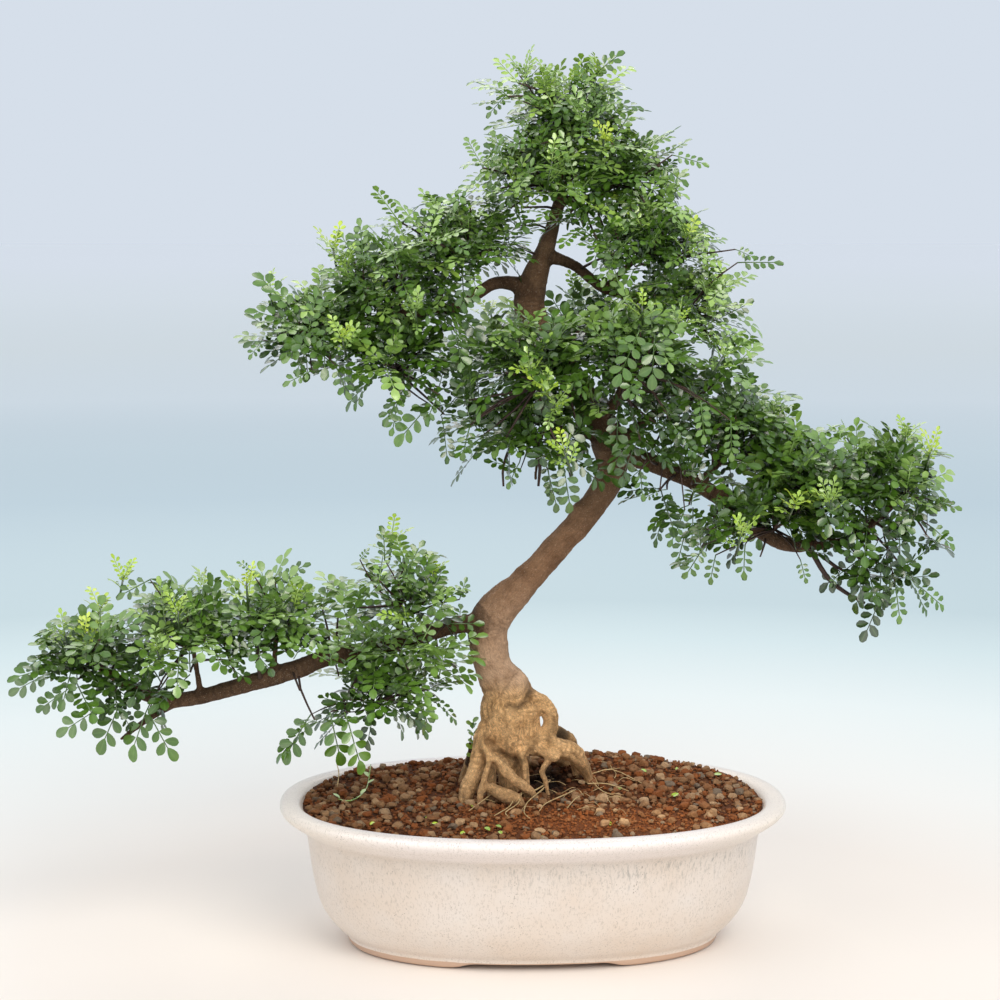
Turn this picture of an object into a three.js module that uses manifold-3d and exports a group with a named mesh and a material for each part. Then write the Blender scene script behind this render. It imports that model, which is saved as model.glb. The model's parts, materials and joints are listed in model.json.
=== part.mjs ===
// Japanese pepper bonsai in an oval glazed pot: pot, drain screens, soil, one grown piece of wood,
// its leafy sprays and its young bright shoots. Millimetres, +Z up, foot of the pot on Z = 0.
import * as THREE from "three";
import { mergeVertices } from "three/addons/utils/BufferGeometryUtils.js";
import Module from "manifold-3d";

const wasm = await Module();
wasm.setup();

// Space between pieces that touch, and round the wood where it passes through soil and leaves
const FIT = 0.3;
const WOOD_FIT = 0.35;

// Oval pot: each profile point is a half width along X and a height
const POT_SEGMENTS = 32;
const OVAL_POWER = 2.3;
const WIDE_FROM = 147;
const WIDE_DEPTH_STEP = 50;
const NARROW_DEPTH_RATIO = 0.66;
const FOOT_HALF_WIDTH = 146;
const FOOT_RING = 12;
const FOOT_DRAFT = 2;
const FOOT_RECESS = 5.5;
const FLOOR_TOP = 14;
const RIM_TOP = 113;
const POT_OUTSIDE = [
  [FOOT_HALF_WIDTH, 0], [153, 12], [165, 34], [174, 72], [176, 92], [195, 96.5], [200, 105],
  [192, RIM_TOP], [183, 110],
];
const POT_INSIDE = [[143, FLOOR_TOP], [151, 25], [167, 88], [183, 110]];
const FOOT_GAP = { width: 127, height: 4.5, reach: 320 };
const DRAIN_X = 70;
const DRAIN_RADIUS = 12;
const DRAIN_SIDES = 20;

// Square screens over the drain holes
const SCREEN_SIZE = 40;
const SCREEN_THICKNESS = 1.2;
const SCREEN_HOLE = 12;
const SCREEN_PITCH = 16;

// Soil heaped towards the back right of the trunk, with a grainy surface
const SOIL_EDGE = 108.5;
const SOIL_BACK = { rise: 5, from: 0, to: 100 };
const SOIL_DOME = 4;
const SOIL_HEAP = { x: 50, y: 60, height: 15, reachX: 75, reachY: 50 };
const SOIL_CUT_TOP = 160;
const GRAIN = { pitch: 18, columns: 21, rows: 16, rise: 4, drift: 0.28, high: [0.1, 0.75], low: [-0.65, 0] };
const COLUMN_STRIDE = 57;

// Trunk, from the root crown below the soil to the apex: x, y, z and radius at each station
const TRUNK_SIDES = 10;
const TRUNK = [
  [-16, 14, 95, 9], [-17, 14, 128, 10], [-19, 12, 144, 14], [-19, 12, 160, 19], [-18, 12, 172, 22],
  [-18, 12, 184, 23], [-20, 11, 196, 20], [-27, 10, 207, 16.5], [-32, 9, 219, 15], [-35, 7, 237, 15.5],
  [-34, 6, 252, 16.5], [-22, 6, 268, 14.5], [-3, 7, 286, 11.5], [15, 8, 306, 10.6], [33, 9, 326, 10.4],
  [49, 10, 345, 10.6], [60, 11, 363, 11.5], [63, 12, 379, 13], [60, 12, 394, 14.5], [56, 12, 406, 12],
  [45, 15, 422, 11], [26, 18, 451, 10.5], [8, 20, 477, 11], [-2, 21, 498, 12], [0, 20, 514, 11.5],
  [5, 20, 530, 9], [12, 18, 548, 6.5], [17, 16, 566, 5.2], [21, 14, 582, 5], [22, 12, 605, 4],
  [24, 8, 650, 2.4],
];
const CROWN_LUMPS = { top: 205, threefold: 0.1, threefoldPitch: 11, fivefold: 0.07, fivefoldPitch: 7 };

// Roots that stand clear of the soil, from the crown down into it
const ROOT_SIDES = 6;
const ROOTS = [
  [[-6, 9, 196, 10], [6, 7, 195, 9], [16, 5, 188, 8.5], [21, 4, 176, 8], [18, 3, 166, 7], [8, 2, 161, 6.5],
    [-4, 3, 158, 7]],
  [[-10, 4, 160, 9], [5, -1, 158, 9.5], [17, -2, 155, 9.5], [28, 2, 152, 9.5], [37, 9, 145, 9],
    [43, 18, 132, 8], [49, 27, 108, 6.5]],
  [[14, 6, 170, 5], [26, 14, 160, 4.5], [35, 22, 148, 4], [40, 34, 112, 3.4]],
  [[7, 1, 154, 4.5], [8, 0, 141, 3.2], [11, 2, 130, 3], [13, 4, 106, 2.6]],
  [[-33, 9, 170, 7], [-42, 4, 154, 6.5], [-46, 0, 140, 6], [-51, -7, 126, 6.5], [-58, -16, 100, 5]],
  [[-36, 6, 150, 5], [-44, -4, 132, 5], [-48, -12, 104, 4.5]],
  [[-33, -3, 166, 4.4], [-36, -13, 153, 3.8], [-38, -19, 142, 3.5], [-40, -28, 131, 3.3],
    [-41, -40, 120, 3.2], [-42, -54, 102, 3]],
  [[-27, -2, 154, 4.4], [-25, -13, 142, 4.5], [-21, -15, 133, 4], [-14, -11, 125, 3.6], [-4, -4, 106, 3]],
  [[-32, -3, 141, 4.4], [-27, -14, 131, 4], [-17, -14, 125, 4], [-3, -9, 106, 3.4]],
  [[-46, -9, 114, 4.5], [-36, -19, 118, 5], [-26, -23, 119, 5.4], [-17, -22, 117, 5.2], [-8, -17, 103, 4.5]],
  [[-30, 16, 158, 7], [-40, 21, 150, 6.5], [-52, 29, 138, 6], [-66, 42, 106, 5]],
  [[-18, 20, 152, 9], [-10, 36, 141, 7], [-4, 52, 129, 6], [2, 66, 106, 5]],
  [[-6, 18, 152, 8], [12, 32, 142, 6.5], [28, 46, 131, 5.5], [42, 62, 108, 4.5]],
];

// Branches that carry the sprays: low left, low right, crown left and crown right
const BRANCH_SIDES = 6;
const BRANCHES = [
  [[-34, 6, 252, 10], [-48, 2, 252, 7.5], [-69, -5, 249, 6.8], [-105, -10, 240, 6.4], [-136, -15, 233, 6.4],
    [-159, -19, 229, 6.6], [-183, -22, 219, 7.2], [-203, -25, 214, 7], [-227, -27, 205, 6],
    [-257, -30, 195, 4.8], [-282, -30, 193, 4.2], [-301, -31, 199, 3.6], [-323, -33, 212, 3],
    [-342, -35, 230, 2.2]],
  [[60, 11, 386, 11], [82, 4, 381, 8], [98, -4, 376, 7.2], [128, -14, 362, 6.6], [155, -20, 344, 6.2],
    [175, -23, 326, 5.8], [196, -25, 316, 5.6], [219, -25, 316, 5], [240, -25, 320, 4.4],
    [264, -25, 334, 3.6], [288, -25, 356, 2.6]],
  [[0, 20, 512, 9], [-15, 17, 517, 6], [-30, 12, 517, 5], [-46, 5, 508, 4.8], [-62, 0, 499, 4.6],
    [-89, -6, 496, 4.4], [-119, -10, 491, 4], [-150, -12, 486, 3.4], [-182, -12, 482, 2.6]],
  [[6, 20, 538, 7], [20, 21, 536, 5], [34, 22, 530, 4.4], [47, 25, 520, 4.2], [58, 28, 512, 4.2],
    [83, 30, 505, 3.8], [108, 24, 496, 3.2], [128, 18, 490, 2.2]],
];

// Twigs that lead from the branches into the sprays
const TWIG_SIDES = 4;
const TWIGS = [
  [[-282, -30, 193, 3.4], [-300, -36, 189, 2.8], [-316, -40, 188, 2]],
  [[-257, -30, 195, 3], [-264, -30, 240, 2]],
  [[-203, -25, 214, 3], [-200, -26, 246, 2]],
  [[-127, -14, 234, 3.5], [-130, -24, 216, 2.6]],
  [[-105, -10, 240, 3.5], [-104, -13, 270, 2.4]],
  [[-60, 0, 500, 3.2], [-57, -3, 538, 2.4]],
  [[58, 28, 512, 3.6], [86, 27, 540, 2.4]],
  [[21, 14, 580, 4], [50, 14, 585, 2.8], [64, 14, 594, 2.4]],
  [[46, 14, 420, 5.5], [41, -10, 432, 4.5], [18, -48, 451, 3.2]],
  [[50, 13, 412, 5.5], [64, -20, 429, 4.4], [70, -46, 454, 3.2]],
  [[56, 12, 398, 6], [34, 4, 402, 4], [8, -8, 407, 3]],
  [[8, -8, 408, 2.6], [3, -13, 390, 2], [1, -18, 366, 1.5]],
  [[20, 19, 464, 5.5], [42, 48, 476, 4], [54, 66, 482, 3.2]],
  [[32, 17, 444, 5.5], [12, 42, 454, 4], [-4, 60, 461, 3]],
  [[60, 11, 388, 7], [80, 8, 402, 4.6], [98, 0, 420, 3]],
  [[128, -14, 362, 4], [150, -8, 384, 2.6]],
  [[214, -25, 316, 2.8], [230, -31, 288, 2.1], [255, -34, 272, 1.3]],
  [[-51, 28, 140, 2.2], [-50, 23, 172, 1.5]],
];

// Sprays of leaves. Each is a chain of pads [x, y, z, half width, half depth, half height].
const BASE_SHOOT = "shoot_at_base";
const SPRAYS = {
  spray_low_left: [[-356, -34, 243, 66, 58, 36], [-268, -29, 253, 62, 66, 40], [-203, -25, 256, 44, 52, 36]],
  spray_low_inner: [[-128, -26, 200, 62, 58, 46]],
  spray_low_upright: [[-102, -13, 281, 38, 44, 42]],
  spray_crown_left: [[-176, -12, 482, 56, 58, 46], [-106, -10, 458, 50, 52, 36], [-112, -8, 512, 62, 66, 52],
    [-56, -3, 550, 48, 50, 40]],
  spray_apex: [[26, 8, 650, 60, 56, 44], [8, 10, 606, 66, 62, 36], [78, 14, 604, 48, 48, 36]],
  spray_crown_right: [[98, 24, 552, 60, 60, 46], [120, 18, 498, 56, 54, 46]],
  spray_front: [[0, -60, 459, 62, 46, 46], [68, -56, 468, 58, 46, 44]],
  spray_centre_low: [[-4, -12, 406, 50, 50, 36]],
  spray_centre_right: [[108, -6, 432, 52, 52, 38]],
  spray_back: [[62, 80, 486, 60, 50, 46], [-12, 72, 466, 56, 48, 42]],
  spray_low_right: [[162, -5, 394, 60, 58, 44], [186, -26, 338, 58, 54, 36], [214, -25, 368, 60, 66, 46],
    [274, -25, 362, 50, 56, 46]],
  [BASE_SHOOT]: [[-50, 23, 172, 15, 15, 17]],
};

// The solid middle of a pad fills this share of it, with lumps, and slim links join neighbours
const CORE_SHARE = new THREE.Vector3(0.54, 0.54, 0.68);
const CORE_LUMP = 0.2;
const CORE_MARGIN = 1.05;
const LINK_RADIUS = 9;
const LINK_SIDES = 5;

// Compound leaf: pairs of leaflets and one at the tip, cut to the rib of one thin arched blade
const LEAF = { length: 58, pairs: 2, stalk: 9, tip: 17, rib: 1.2, thickness: 0.8, sunk: 6 };
const YOUNG_LEAF = { length: 34, pairs: 2, stalk: 4, tip: 11, rib: 0.9, thickness: 0.8, sunk: 3 };
const LEAFLET_ANGLE = 1.02;
const LEAFLET_REACH = 1.15;
const LEAFLET_HALF_WIDTH = 0.36;
const LEAFLET_FOOT = 0.4;
const LEAFLET_CORNERS = [[0.5, 1], [1, 0], [0.62, -1]];
const TIP_SHOULDER = { back: 0.4, halfWidth: 0.38 };

// Where the leaves stand on a pad, with angles in radians
const PAD_SIZE_PER_LEAF = 42;
const BASE_SHOOT_LEAVES = 2;
const LEAF_PLACES = 14;
const PLACE_STEP = 5;
const PAD_STRIDE = 40;
const SPIRAL = Math.PI * (3 - Math.sqrt(5));
const TOP_ELEVATION = 1.2;
const FOOT_SHARE = 0.95;
const HEADING_LIFT = 0.25;
const DROOP = { low: 1.5, high: 1.95, lessUpward: 0.5 };
const ROLL = 0.3;
const LEAF_TURNS = 9;
const LEAF_SWING = 0.28;
const LEAF_CLEARANCE = 0.5;

// Young bright shoots: the pad they stand on, by spray and place, with azimuth and elevation in degrees
const YOUNG_SHOOTS = [
  ["spray_low_left", 0, 200, 62], ["spray_low_upright", 0, 230, 72], ["spray_crown_left", 0, 215, 55],
  ["spray_apex", 0, 300, 66], ["spray_front", 0, 262, 30],
];
const SHOOT_STEM = { from: 0.45, beyond: 13, radius: 1.5, lift: 0.4 };
const SHOOT_LEAVES = { count: 2, firstTurn: 0.6, lift: 0.6, alongStem: 0.6, below: 1.5, pitch: 4, droop: 1 };

// A repeatable draw between 0 and 1 for the item at this place in its list
function draw(item, channel) {
  const wave = Math.sin(item * 12.9898 + channel * 78.233) * 43758.5453;
  return wave - Math.floor(wave);
}

const spread = (item, channel, low, high) => low + (high - low) * draw(item, channel);
const vector = (list) => new THREE.Vector3(list[0], list[1], list[2]);

// A geometry's surface alone, with its shared vertices merged
function bare(geometry) {
  const copy = geometry.clone();
  copy.deleteAttribute("normal");
  copy.deleteAttribute("uv");
  return mergeVertices(copy, 1e-3);
}

// A closed three.js geometry as a solid, without collapsed triangles and with its faces pointing out
function solid(geometry) {
  const merged = bare(geometry);
  const corners = merged.index.array;
  const place = merged.attributes.position;
  const kept = [];
  let volume = 0;
  for (let i = 0; i < corners.length; i += 3) {
    const [a, b, c] = corners.slice(i, i + 3);
    if (a === b || b === c || a === c) continue;
    kept.push(a, b, c);
    const [p, q, r] = [a, b, c].map((k) => new THREE.Vector3().fromBufferAttribute(place, k));
    volume += p.dot(q.cross(r)) / 6;
  }
  if (volume < 0) kept.reverse();
  return new wasm.Manifold(
    new wasm.Mesh({ numProp: 3, vertProperties: place.array, triVerts: new Uint32Array(kept) }),
  );
}

// A solid back as a three.js geometry
function geometryOf(body) {
  const mesh = body.getMesh();
  const places = new Float32Array(mesh.numVert * 3);
  for (let i = 0; i < mesh.numVert; i++) {
    places.set(mesh.vertProperties.subarray(i * mesh.numProp, i * mesh.numProp + 3), i * 3);
  }
  const geometry = new THREE.BufferGeometry();
  geometry.setAttribute("position", new THREE.BufferAttribute(places, 3));
  geometry.setIndex(new THREE.BufferAttribute(mesh.triVerts, 1));
  geometry.computeVertexNormals();
  return geometry;
}

// Moves every vertex of a geometry by a rule
function reshape(geometry, rule) {
  const place = geometry.attributes.position;
  const point = new THREE.Vector3();
  for (let i = 0; i < place.count; i++) {
    point.fromBufferAttribute(place, i);
    rule(point, i);
    place.setXYZ(i, point.x, point.y, point.z);
  }
  return geometry;
}

const joined = (bodies) => bodies.reduce((sum, body) => sum.add(body));
const largest = (body) => body.decompose().sort((a, b) => b.volume() - a.volume())[0];

// Half depth along Y of the oval whose half width along X is given
const halfDepth = (halfWidth) =>
  halfWidth > WIDE_FROM ? halfWidth - WIDE_DEPTH_STEP : halfWidth * NARROW_DEPTH_RATIO;

// A closed profile of half widths and heights turned round Z and pressed into an oval
function oval(profile) {
  const points = profile.map(([halfWidth, height]) => new THREE.Vector2(halfWidth, height));
  const turned = new THREE.LatheGeometry(points, POT_SEGMENTS).rotateX(Math.PI / 2);
  return reshape(turned, (p) => {
    const reach = Math.hypot(p.x, p.y);
    if (reach < 1e-6) return;
    const bulge = (share) => Math.sign(share) * Math.abs(share) ** (2 / OVAL_POWER);
    p.set(reach * bulge(p.x / reach), halfDepth(reach) * bulge(p.y / reach), p.z);
  });
}

function makePot() {
  const inner = FOOT_HALF_WIDTH - FOOT_RING;
  const profile = [
    [0, FOOT_RECESS], [inner - FOOT_DRAFT, FOOT_RECESS], [inner, 0], ...POT_OUTSIDE,
    ...POT_INSIDE.slice(0, -1).reverse(), [0, FLOOR_TOP],
  ];
  const footGap = new THREE.BoxGeometry(FOOT_GAP.width, FOOT_GAP.reach, 2 * FOOT_GAP.height);
  let pot = solid(oval(profile)).subtract(solid(footGap));
  for (const side of [-1, 1]) {
    const drain = new THREE.CylinderGeometry(DRAIN_RADIUS, DRAIN_RADIUS, 3 * FLOOR_TOP, DRAIN_SIDES);
    pot = pot.subtract(solid(drain.rotateX(Math.PI / 2).translate(side * DRAIN_X, 0, FLOOR_TOP)));
  }
  return pot;
}

function makeScreen() {
  let sheet = solid(new THREE.BoxGeometry(SCREEN_SIZE, SCREEN_SIZE, SCREEN_THICKNESS));
  for (const x of [-SCREEN_PITCH / 2, SCREEN_PITCH / 2]) {
    for (const y of [-SCREEN_PITCH / 2, SCREEN_PITCH / 2]) {
      const hole = new THREE.BoxGeometry(SCREEN_HOLE, SCREEN_HOLE, 3 * SCREEN_THICKNESS);
      sheet = sheet.subtract(solid(hole.translate(x, y, 0)));
    }
  }
  return sheet;
}

// Height of the soil's surface over a place in the pot
function soilHeight(x, y) {
  const rim = POT_INSIDE[POT_INSIDE.length - 1][0];
  const dome = Math.max(0, 1 - (x / rim) ** 2 - (y / halfDepth(rim)) ** 2);
  const heap = Math.exp(
    -(((x - SOIL_HEAP.x) / SOIL_HEAP.reachX) ** 2) - ((y - SOIL_HEAP.y) / SOIL_HEAP.reachY) ** 2,
  );
  const back = THREE.MathUtils.smoothstep(y, SOIL_BACK.from, SOIL_BACK.to);
  return SOIL_EDGE + SOIL_BACK.rise * back + SOIL_DOME * dome + SOIL_HEAP.height * heap;
}

function makeSoil(woodWithGap) {
  const { pitch, columns, rows, rise, drift, high, low } = GRAIN;
  const block = new THREE.BoxGeometry(columns * pitch, rows * pitch, 2, columns, rows, 1);
  const heaped = reshape(block, (p) => {
    if (p.z < 0) {
      p.z = 0;
      return;
    }
    const column = Math.round(p.x / pitch);
    const row = Math.round(p.y / pitch);
    const place = column * COLUMN_STRIDE + row;
    const raised = (column + row) % 2 ? spread(place, 3, ...high) : spread(place, 4, ...low);
    p.x += pitch * spread(place, 1, -drift, drift);
    p.y += pitch * spread(place, 2, -drift, drift);
    p.z = soilHeight(p.x, p.y) + rise * raised;
  });
  const wall = POT_INSIDE.slice(1).map(([halfWidth, height]) => [halfWidth - FIT, height]);
  const floor = [POT_INSIDE[0][0] - FIT, FLOOR_TOP + FIT];
  const mouth = wall[wall.length - 1][0];
  const plug = [[0, floor[1]], floor, ...wall, [mouth, SOIL_CUT_TOP], [0, SOIL_CUT_TOP]];
  let soil = solid(heaped).intersect(solid(oval(plug)));
  for (const side of [-1, 1]) {
    const size = SCREEN_SIZE + 2 * FIT;
    const pocket = new THREE.BoxGeometry(size, size, 2 * (SCREEN_THICKNESS + 2 * FIT));
    soil = soil.subtract(solid(pocket.translate(side * DRAIN_X, 0, FLOOR_TOP)));
  }
  return largest(soil.subtract(woodWithGap));
}

// A limb: a round bar of changing radius along a smooth curve through its stations
function limb(stations, sides, grow = 0, swelling = () => 1) {
  const steps = stations.length - 1;
  const curve = new THREE.CatmullRomCurve3(stations.map(vector));
  const frames = [];
  let side = new THREE.Vector3(0.35, 1, 0.12);
  for (let i = 0; i <= steps; i++) {
    const along = curve.getTangent(i / steps);
    side = side.clone().addScaledVector(along, -side.dot(along)).normalize();
    const beyond = i === 0 ? -grow : i === steps ? grow : 0;
    const centre = curve.getPoint(i / steps).addScaledVector(along, beyond);
    frames.push({ centre, side, across: new THREE.Vector3().crossVectors(side, along) });
  }
  const bar = new THREE.CylinderGeometry(1, 1, 1, sides, steps);
  return reshape(bar, (p) => {
    const row = Math.round((p.y + 0.5) * steps);
    const { centre, side: out, across } = frames[row];
    const radius = (stations[row][3] + grow) * swelling(centre.z, Math.atan2(p.z, p.x));
    const [a, b] = [p.x * radius, p.z * radius];
    p.copy(centre).addScaledVector(out, a).addScaledVector(across, b);
  });
}

// The root crown is knobbly up to its neck
function crownSwelling(height, turn) {
  const { top, threefold, threefoldPitch, fivefold, fivefoldPitch } = CROWN_LUMPS;
  if (height > top) return 1;
  const slow = threefold * Math.sin(3 * turn + height / threefoldPitch);
  return 1 + slow + fivefold * Math.sin(5 * turn - height / fivefoldPitch);
}

// All the wood as one body, made larger all round where it cuts its own way through another piece
function makeWood(grow) {
  return joined([
    solid(limb(TRUNK, TRUNK_SIDES, grow, crownSwelling)),
    ...ROOTS.map((root) => solid(limb(root, ROOT_SIDES, grow))),
    ...BRANCHES.map((branch) => solid(limb(branch, BRANCH_SIDES, grow))),
    ...TWIGS.map((twig) => solid(limb(twig, TWIG_SIDES, grow))),
  ]);
}

// Half width, half depth and half height of the middle of a pad of leaves
const coreReach = (pad) => vector(pad.slice(3)).multiply(CORE_SHARE);

// The lumpy middle of one pad of leaves
function core(pad, index, grow) {
  const ball = bare(new THREE.IcosahedronGeometry(1, 0).rotateZ(index));
  return reshape(ball, (p, corner) => {
    const lump = 1 + CORE_LUMP * (2 * draw(corner, index) - 1);
    const reach = coreReach(pad).multiplyScalar(lump).addScalar(grow);
    p.multiply(reach).add(vector(pad));
  });
}

// The link between the middles of two neighbouring pads
function coreLink(pad, next, grow) {
  const ends = [pad, next].map(([x, y, z]) => [x, y, z, LINK_RADIUS]);
  return limb(ends, LINK_SIDES, grow);
}

// Outline of a compound leaf along X: each leaflet has three free corners, and the rib joins them
function leafOutline({ length, pairs, stalk, tip, rib }, grow) {
  const pitch = (length - tip - stalk) / pairs;
  const along = new THREE.Vector2(Math.cos(LEAFLET_ANGLE), Math.sin(LEAFLET_ANGLE));
  const back = new THREE.Vector2(-along.y, along.x);
  const reach = LEAFLET_REACH * pitch;
  const edge = [[stalk, rib]];
  for (let k = 0; k < pairs; k++) {
    const foot = new THREE.Vector2(stalk + (k + LEAFLET_FOOT) * pitch, rib);
    for (const [far, wide] of LEAFLET_CORNERS) {
      const p = foot.clone().addScaledVector(along, far * reach);
      p.addScaledVector(back, wide * LEAFLET_HALF_WIDTH * reach);
      edge.push([p.x, p.y + grow]);
    }
    edge.push([stalk + (k + 1) * pitch, rib]);
  }
  edge.push([length - TIP_SHOULDER.back * tip, TIP_SHOULDER.halfWidth * tip + grow], [length + grow, 0]);
  const mirrored = edge.slice(0, -1).reverse().map(([x, y]) => [x, -y]);
  return new THREE.Shape([[0, 0], ...edge, ...mirrored].map(([x, y]) => new THREE.Vector2(x, y)));
}

// One leaf from its foot, heading outwards and arching down by the droop angle over its length
function leaf(kind, foot, heading, roll, droop, grow = 0) {
  const depth = kind.thickness + 2 * grow;
  const blade = new THREE.ExtrudeGeometry(leafOutline(kind, grow), { depth, bevelEnabled: false });
  const forward = heading.clone().normalize();
  const level = new THREE.Vector3(0, 0, 1).cross(forward).normalize().applyAxisAngle(forward, roll);
  const up = new THREE.Vector3().crossVectors(forward, level);
  const bend = droop / kind.length;
  return reshape(blade, (p) => {
    const turn = bend * p.x;
    const height = p.z - depth / 2;
    const reach = Math.sin(turn) / bend + height * Math.sin(turn);
    const rise = (Math.cos(turn) - 1) / bend + height * Math.cos(turn);
    const across = p.y;
    p.copy(foot).addScaledVector(forward, reach).addScaledVector(level, across).addScaledVector(up, rise);
  });
}

// Everything already placed near the leaves, so that a new leaf can keep clear of it
const placed = [];

function keep(owner, body, pad = null) {
  placed.push({ owner, body, pad, box: body.boundingBox() });
}

function touches(body, other) {
  const box = body.boundingBox();
  const apart = [0, 1, 2].some((k) => box.min[k] > other.box.max[k] || box.max[k] < other.box.min[k]);
  return !apart && body.intersect(other.body).volume() > 0;
}

// A leaf that is turned about its foot until it keeps clear of the pieces that it must miss, or none
function clearLeaf(owner, kind, foot, heading, droop, item, mustMiss) {
  const roll = spread(item, 5, -ROLL, ROLL);
  for (let turn = 0; turn < LEAF_TURNS; turn++) {
    const swing = (turn % 2 ? 1 : -1) * Math.ceil(turn / 2) * LEAF_SWING;
    const way = heading.clone().applyAxisAngle(new THREE.Vector3(0, 0, 1), swing);
    const guard = solid(leaf(kind, foot, way, roll, droop, LEAF_CLEARANCE));
    if (placed.some((other) => mustMiss(other) && touches(guard, other))) continue;
    keep(owner, guard);
    return solid(leaf(kind, foot, way, roll, droop));
  }
  return null;
}

// The place on a pad's core in a direction, and the way a leaf leaves it there
function padSurface(pad, azimuth, elevation, share) {
  const flat = Math.cos(elevation);
  const out = new THREE.Vector3(flat * Math.cos(azimuth), flat * Math.sin(azimuth), Math.sin(elevation));
  const place = out.clone().multiply(coreReach(pad)).multiplyScalar(share).add(vector(pad));
  return { place, away: out.clone().divide(coreReach(pad)).normalize() };
}

// True where a place lies inside another pad's core
const insideCore = (place, pad) =>
  vector(pad).sub(place).divide(coreReach(pad)).length() < CORE_MARGIN;

// Leaves on a golden-angle spiral round a pad: the first heads away from the trunk, low on the skirt
function padLeaves(owner, pads, pad, index) {
  const young = owner === BASE_SHOOT;
  const kind = young ? YOUNG_LEAF : LEAF;
  const wanted = young ? BASE_SHOOT_LEAVES : Math.round((pad[3] + pad[4] + pad[5]) / PAD_SIZE_PER_LEAF);
  const mustMiss = (other) => other.owner !== owner || other.pad !== pad;
  const outwards = Math.atan2(pad[1], pad[0]);
  const leaves = [];
  for (let i = 0; i < LEAF_PLACES && leaves.length < wanted; i++) {
    const item = index * PAD_STRIDE + i;
    const height = ((i * PLACE_STEP) % LEAF_PLACES + 0.5) / LEAF_PLACES;
    const elevation = TOP_ELEVATION * height;
    const azimuth = outwards + i * SPIRAL;
    const { place } = padSurface(pad, azimuth, elevation, FOOT_SHARE);
    if (pads.some((other) => other !== pad && insideCore(place, other))) continue;
    const lift = HEADING_LIFT * (1 + elevation);
    const heading = new THREE.Vector3(Math.cos(azimuth), Math.sin(azimuth), lift).normalize();
    const foot = place.clone().addScaledVector(heading, -kind.sunk);
    const droop = spread(item, 6, DROOP.low, DROOP.high) - DROOP.lessUpward * elevation;
    const blade = clearLeaf(owner, kind, foot, heading, droop, item, mustMiss);
    if (blade) leaves.push(blade);
  }
  return leaves;
}

// A young shoot: a slim stem that stands in its pad and carries two bright leaves
function youngShoot(name, [spray, padPlace, azimuth, elevation], index) {
  const pad = SPRAYS[spray][padPlace];
  const turn = THREE.MathUtils.degToRad(azimuth);
  const tilt = THREE.MathUtils.degToRad(elevation);
  const inner = padSurface(pad, turn, tilt, SHOOT_STEM.from).place;
  const { place: skin, away } = padSurface(pad, turn, tilt, 1);
  const outward = away.add(new THREE.Vector3(0, 0, SHOOT_STEM.lift)).normalize();
  const tip = skin.clone().addScaledVector(outward, SHOOT_STEM.beyond);
  const stations = [inner, skin, tip].map((p) => [p.x, p.y, p.z, SHOOT_STEM.radius]);
  const hole = solid(limb(stations, TWIG_SIDES, FIT));
  keep(name, hole);
  const parts = [solid(limb(stations, TWIG_SIDES))];
  const mustMiss = (other) => other.owner !== name;
  const { count, firstTurn, lift, alongStem, below, pitch, droop } = SHOOT_LEAVES;
  for (let i = 0; i < count; i++) {
    const around = turn + firstTurn + (i * 2 * Math.PI) / count;
    const flat = new THREE.Vector3(Math.cos(around), Math.sin(around), lift);
    const heading = flat.addScaledVector(outward, alongStem);
    const foot = tip.clone().addScaledVector(outward, -below - pitch * i);
    const item = -1 - index * count - i;
    const blade = clearLeaf(name, YOUNG_LEAF, foot, heading, droop, item, mustMiss);
    if (blade) parts.push(blade);
  }
  return { body: joined(parts), hole, spray };
}

// Materials by colour, roughness and metalness
const finish = (color, roughness) => new THREE.MeshStandardMaterial({ color, roughness, metalness: 0 });
const GLAZE = finish(0xe6dccb, 0.35);
const SOIL = finish(0x7a4a30, 0.95);
const BARK = finish(0x8d6e55, 0.85);
const SCREEN = finish(0x2c2c2c, 0.7);
const LEAF_GREEN = finish(0x2f6b35, 0.5);
const YOUNG_GREEN = finish(0x9cc53a, 0.5);

const potting = new THREE.Group();
const plant = new THREE.Group();

function addPiece(group, name, body, material) {
  const mesh = new THREE.Mesh(geometryOf(body), material);
  mesh.name = name;
  group.add(mesh);
  return mesh;
}

const wood = makeWood(0);
const woodWithGap = makeWood(WOOD_FIT);
const soil = makeSoil(woodWithGap);
addPiece(potting, "pot", makePot(), GLAZE);
addPiece(potting, "soil", soil, SOIL);
for (const [name, side] of [["drain_screen_left", -1], ["drain_screen_right", 1]]) {
  const screen = addPiece(potting, name, makeScreen(), SCREEN);
  screen.position.set(side * DRAIN_X, 0, FLOOR_TOP + FIT + SCREEN_THICKNESS / 2);
}
addPiece(plant, "trunk_and_roots", wood, BARK);

// Cores first: a later spray's core is cut clear of the earlier ones
keep("soil", soil);
const cores = {};
let padIndex = 0;
for (const [name, pads] of Object.entries(SPRAYS)) {
  const links = pads.slice(1).map((pad, i) => (grow) => solid(coreLink(pads[i], pad, grow)));
  const middles = pads.map((pad, i) => (grow) => solid(core(pad, padIndex + i, grow)));
  const whole = joined([...middles, ...links].map((make) => make(0)));
  cores[name] = placed.reduce((rest, other) => rest.subtract(other.body), whole);
  middles.forEach((make, i) => keep(name, make(FIT), pads[i]));
  links.forEach((make) => keep(name, make(FIT)));
  padIndex += pads.length;
}
keep("trunk_and_roots", woodWithGap);

const shoots = YOUNG_SHOOTS.map((spot, i) => youngShoot(`young_shoot_${i + 1}`, spot, i));
shoots.forEach((shoot, i) => addPiece(plant, `young_shoot_${i + 1}`, shoot.body, YOUNG_GREEN));

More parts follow.
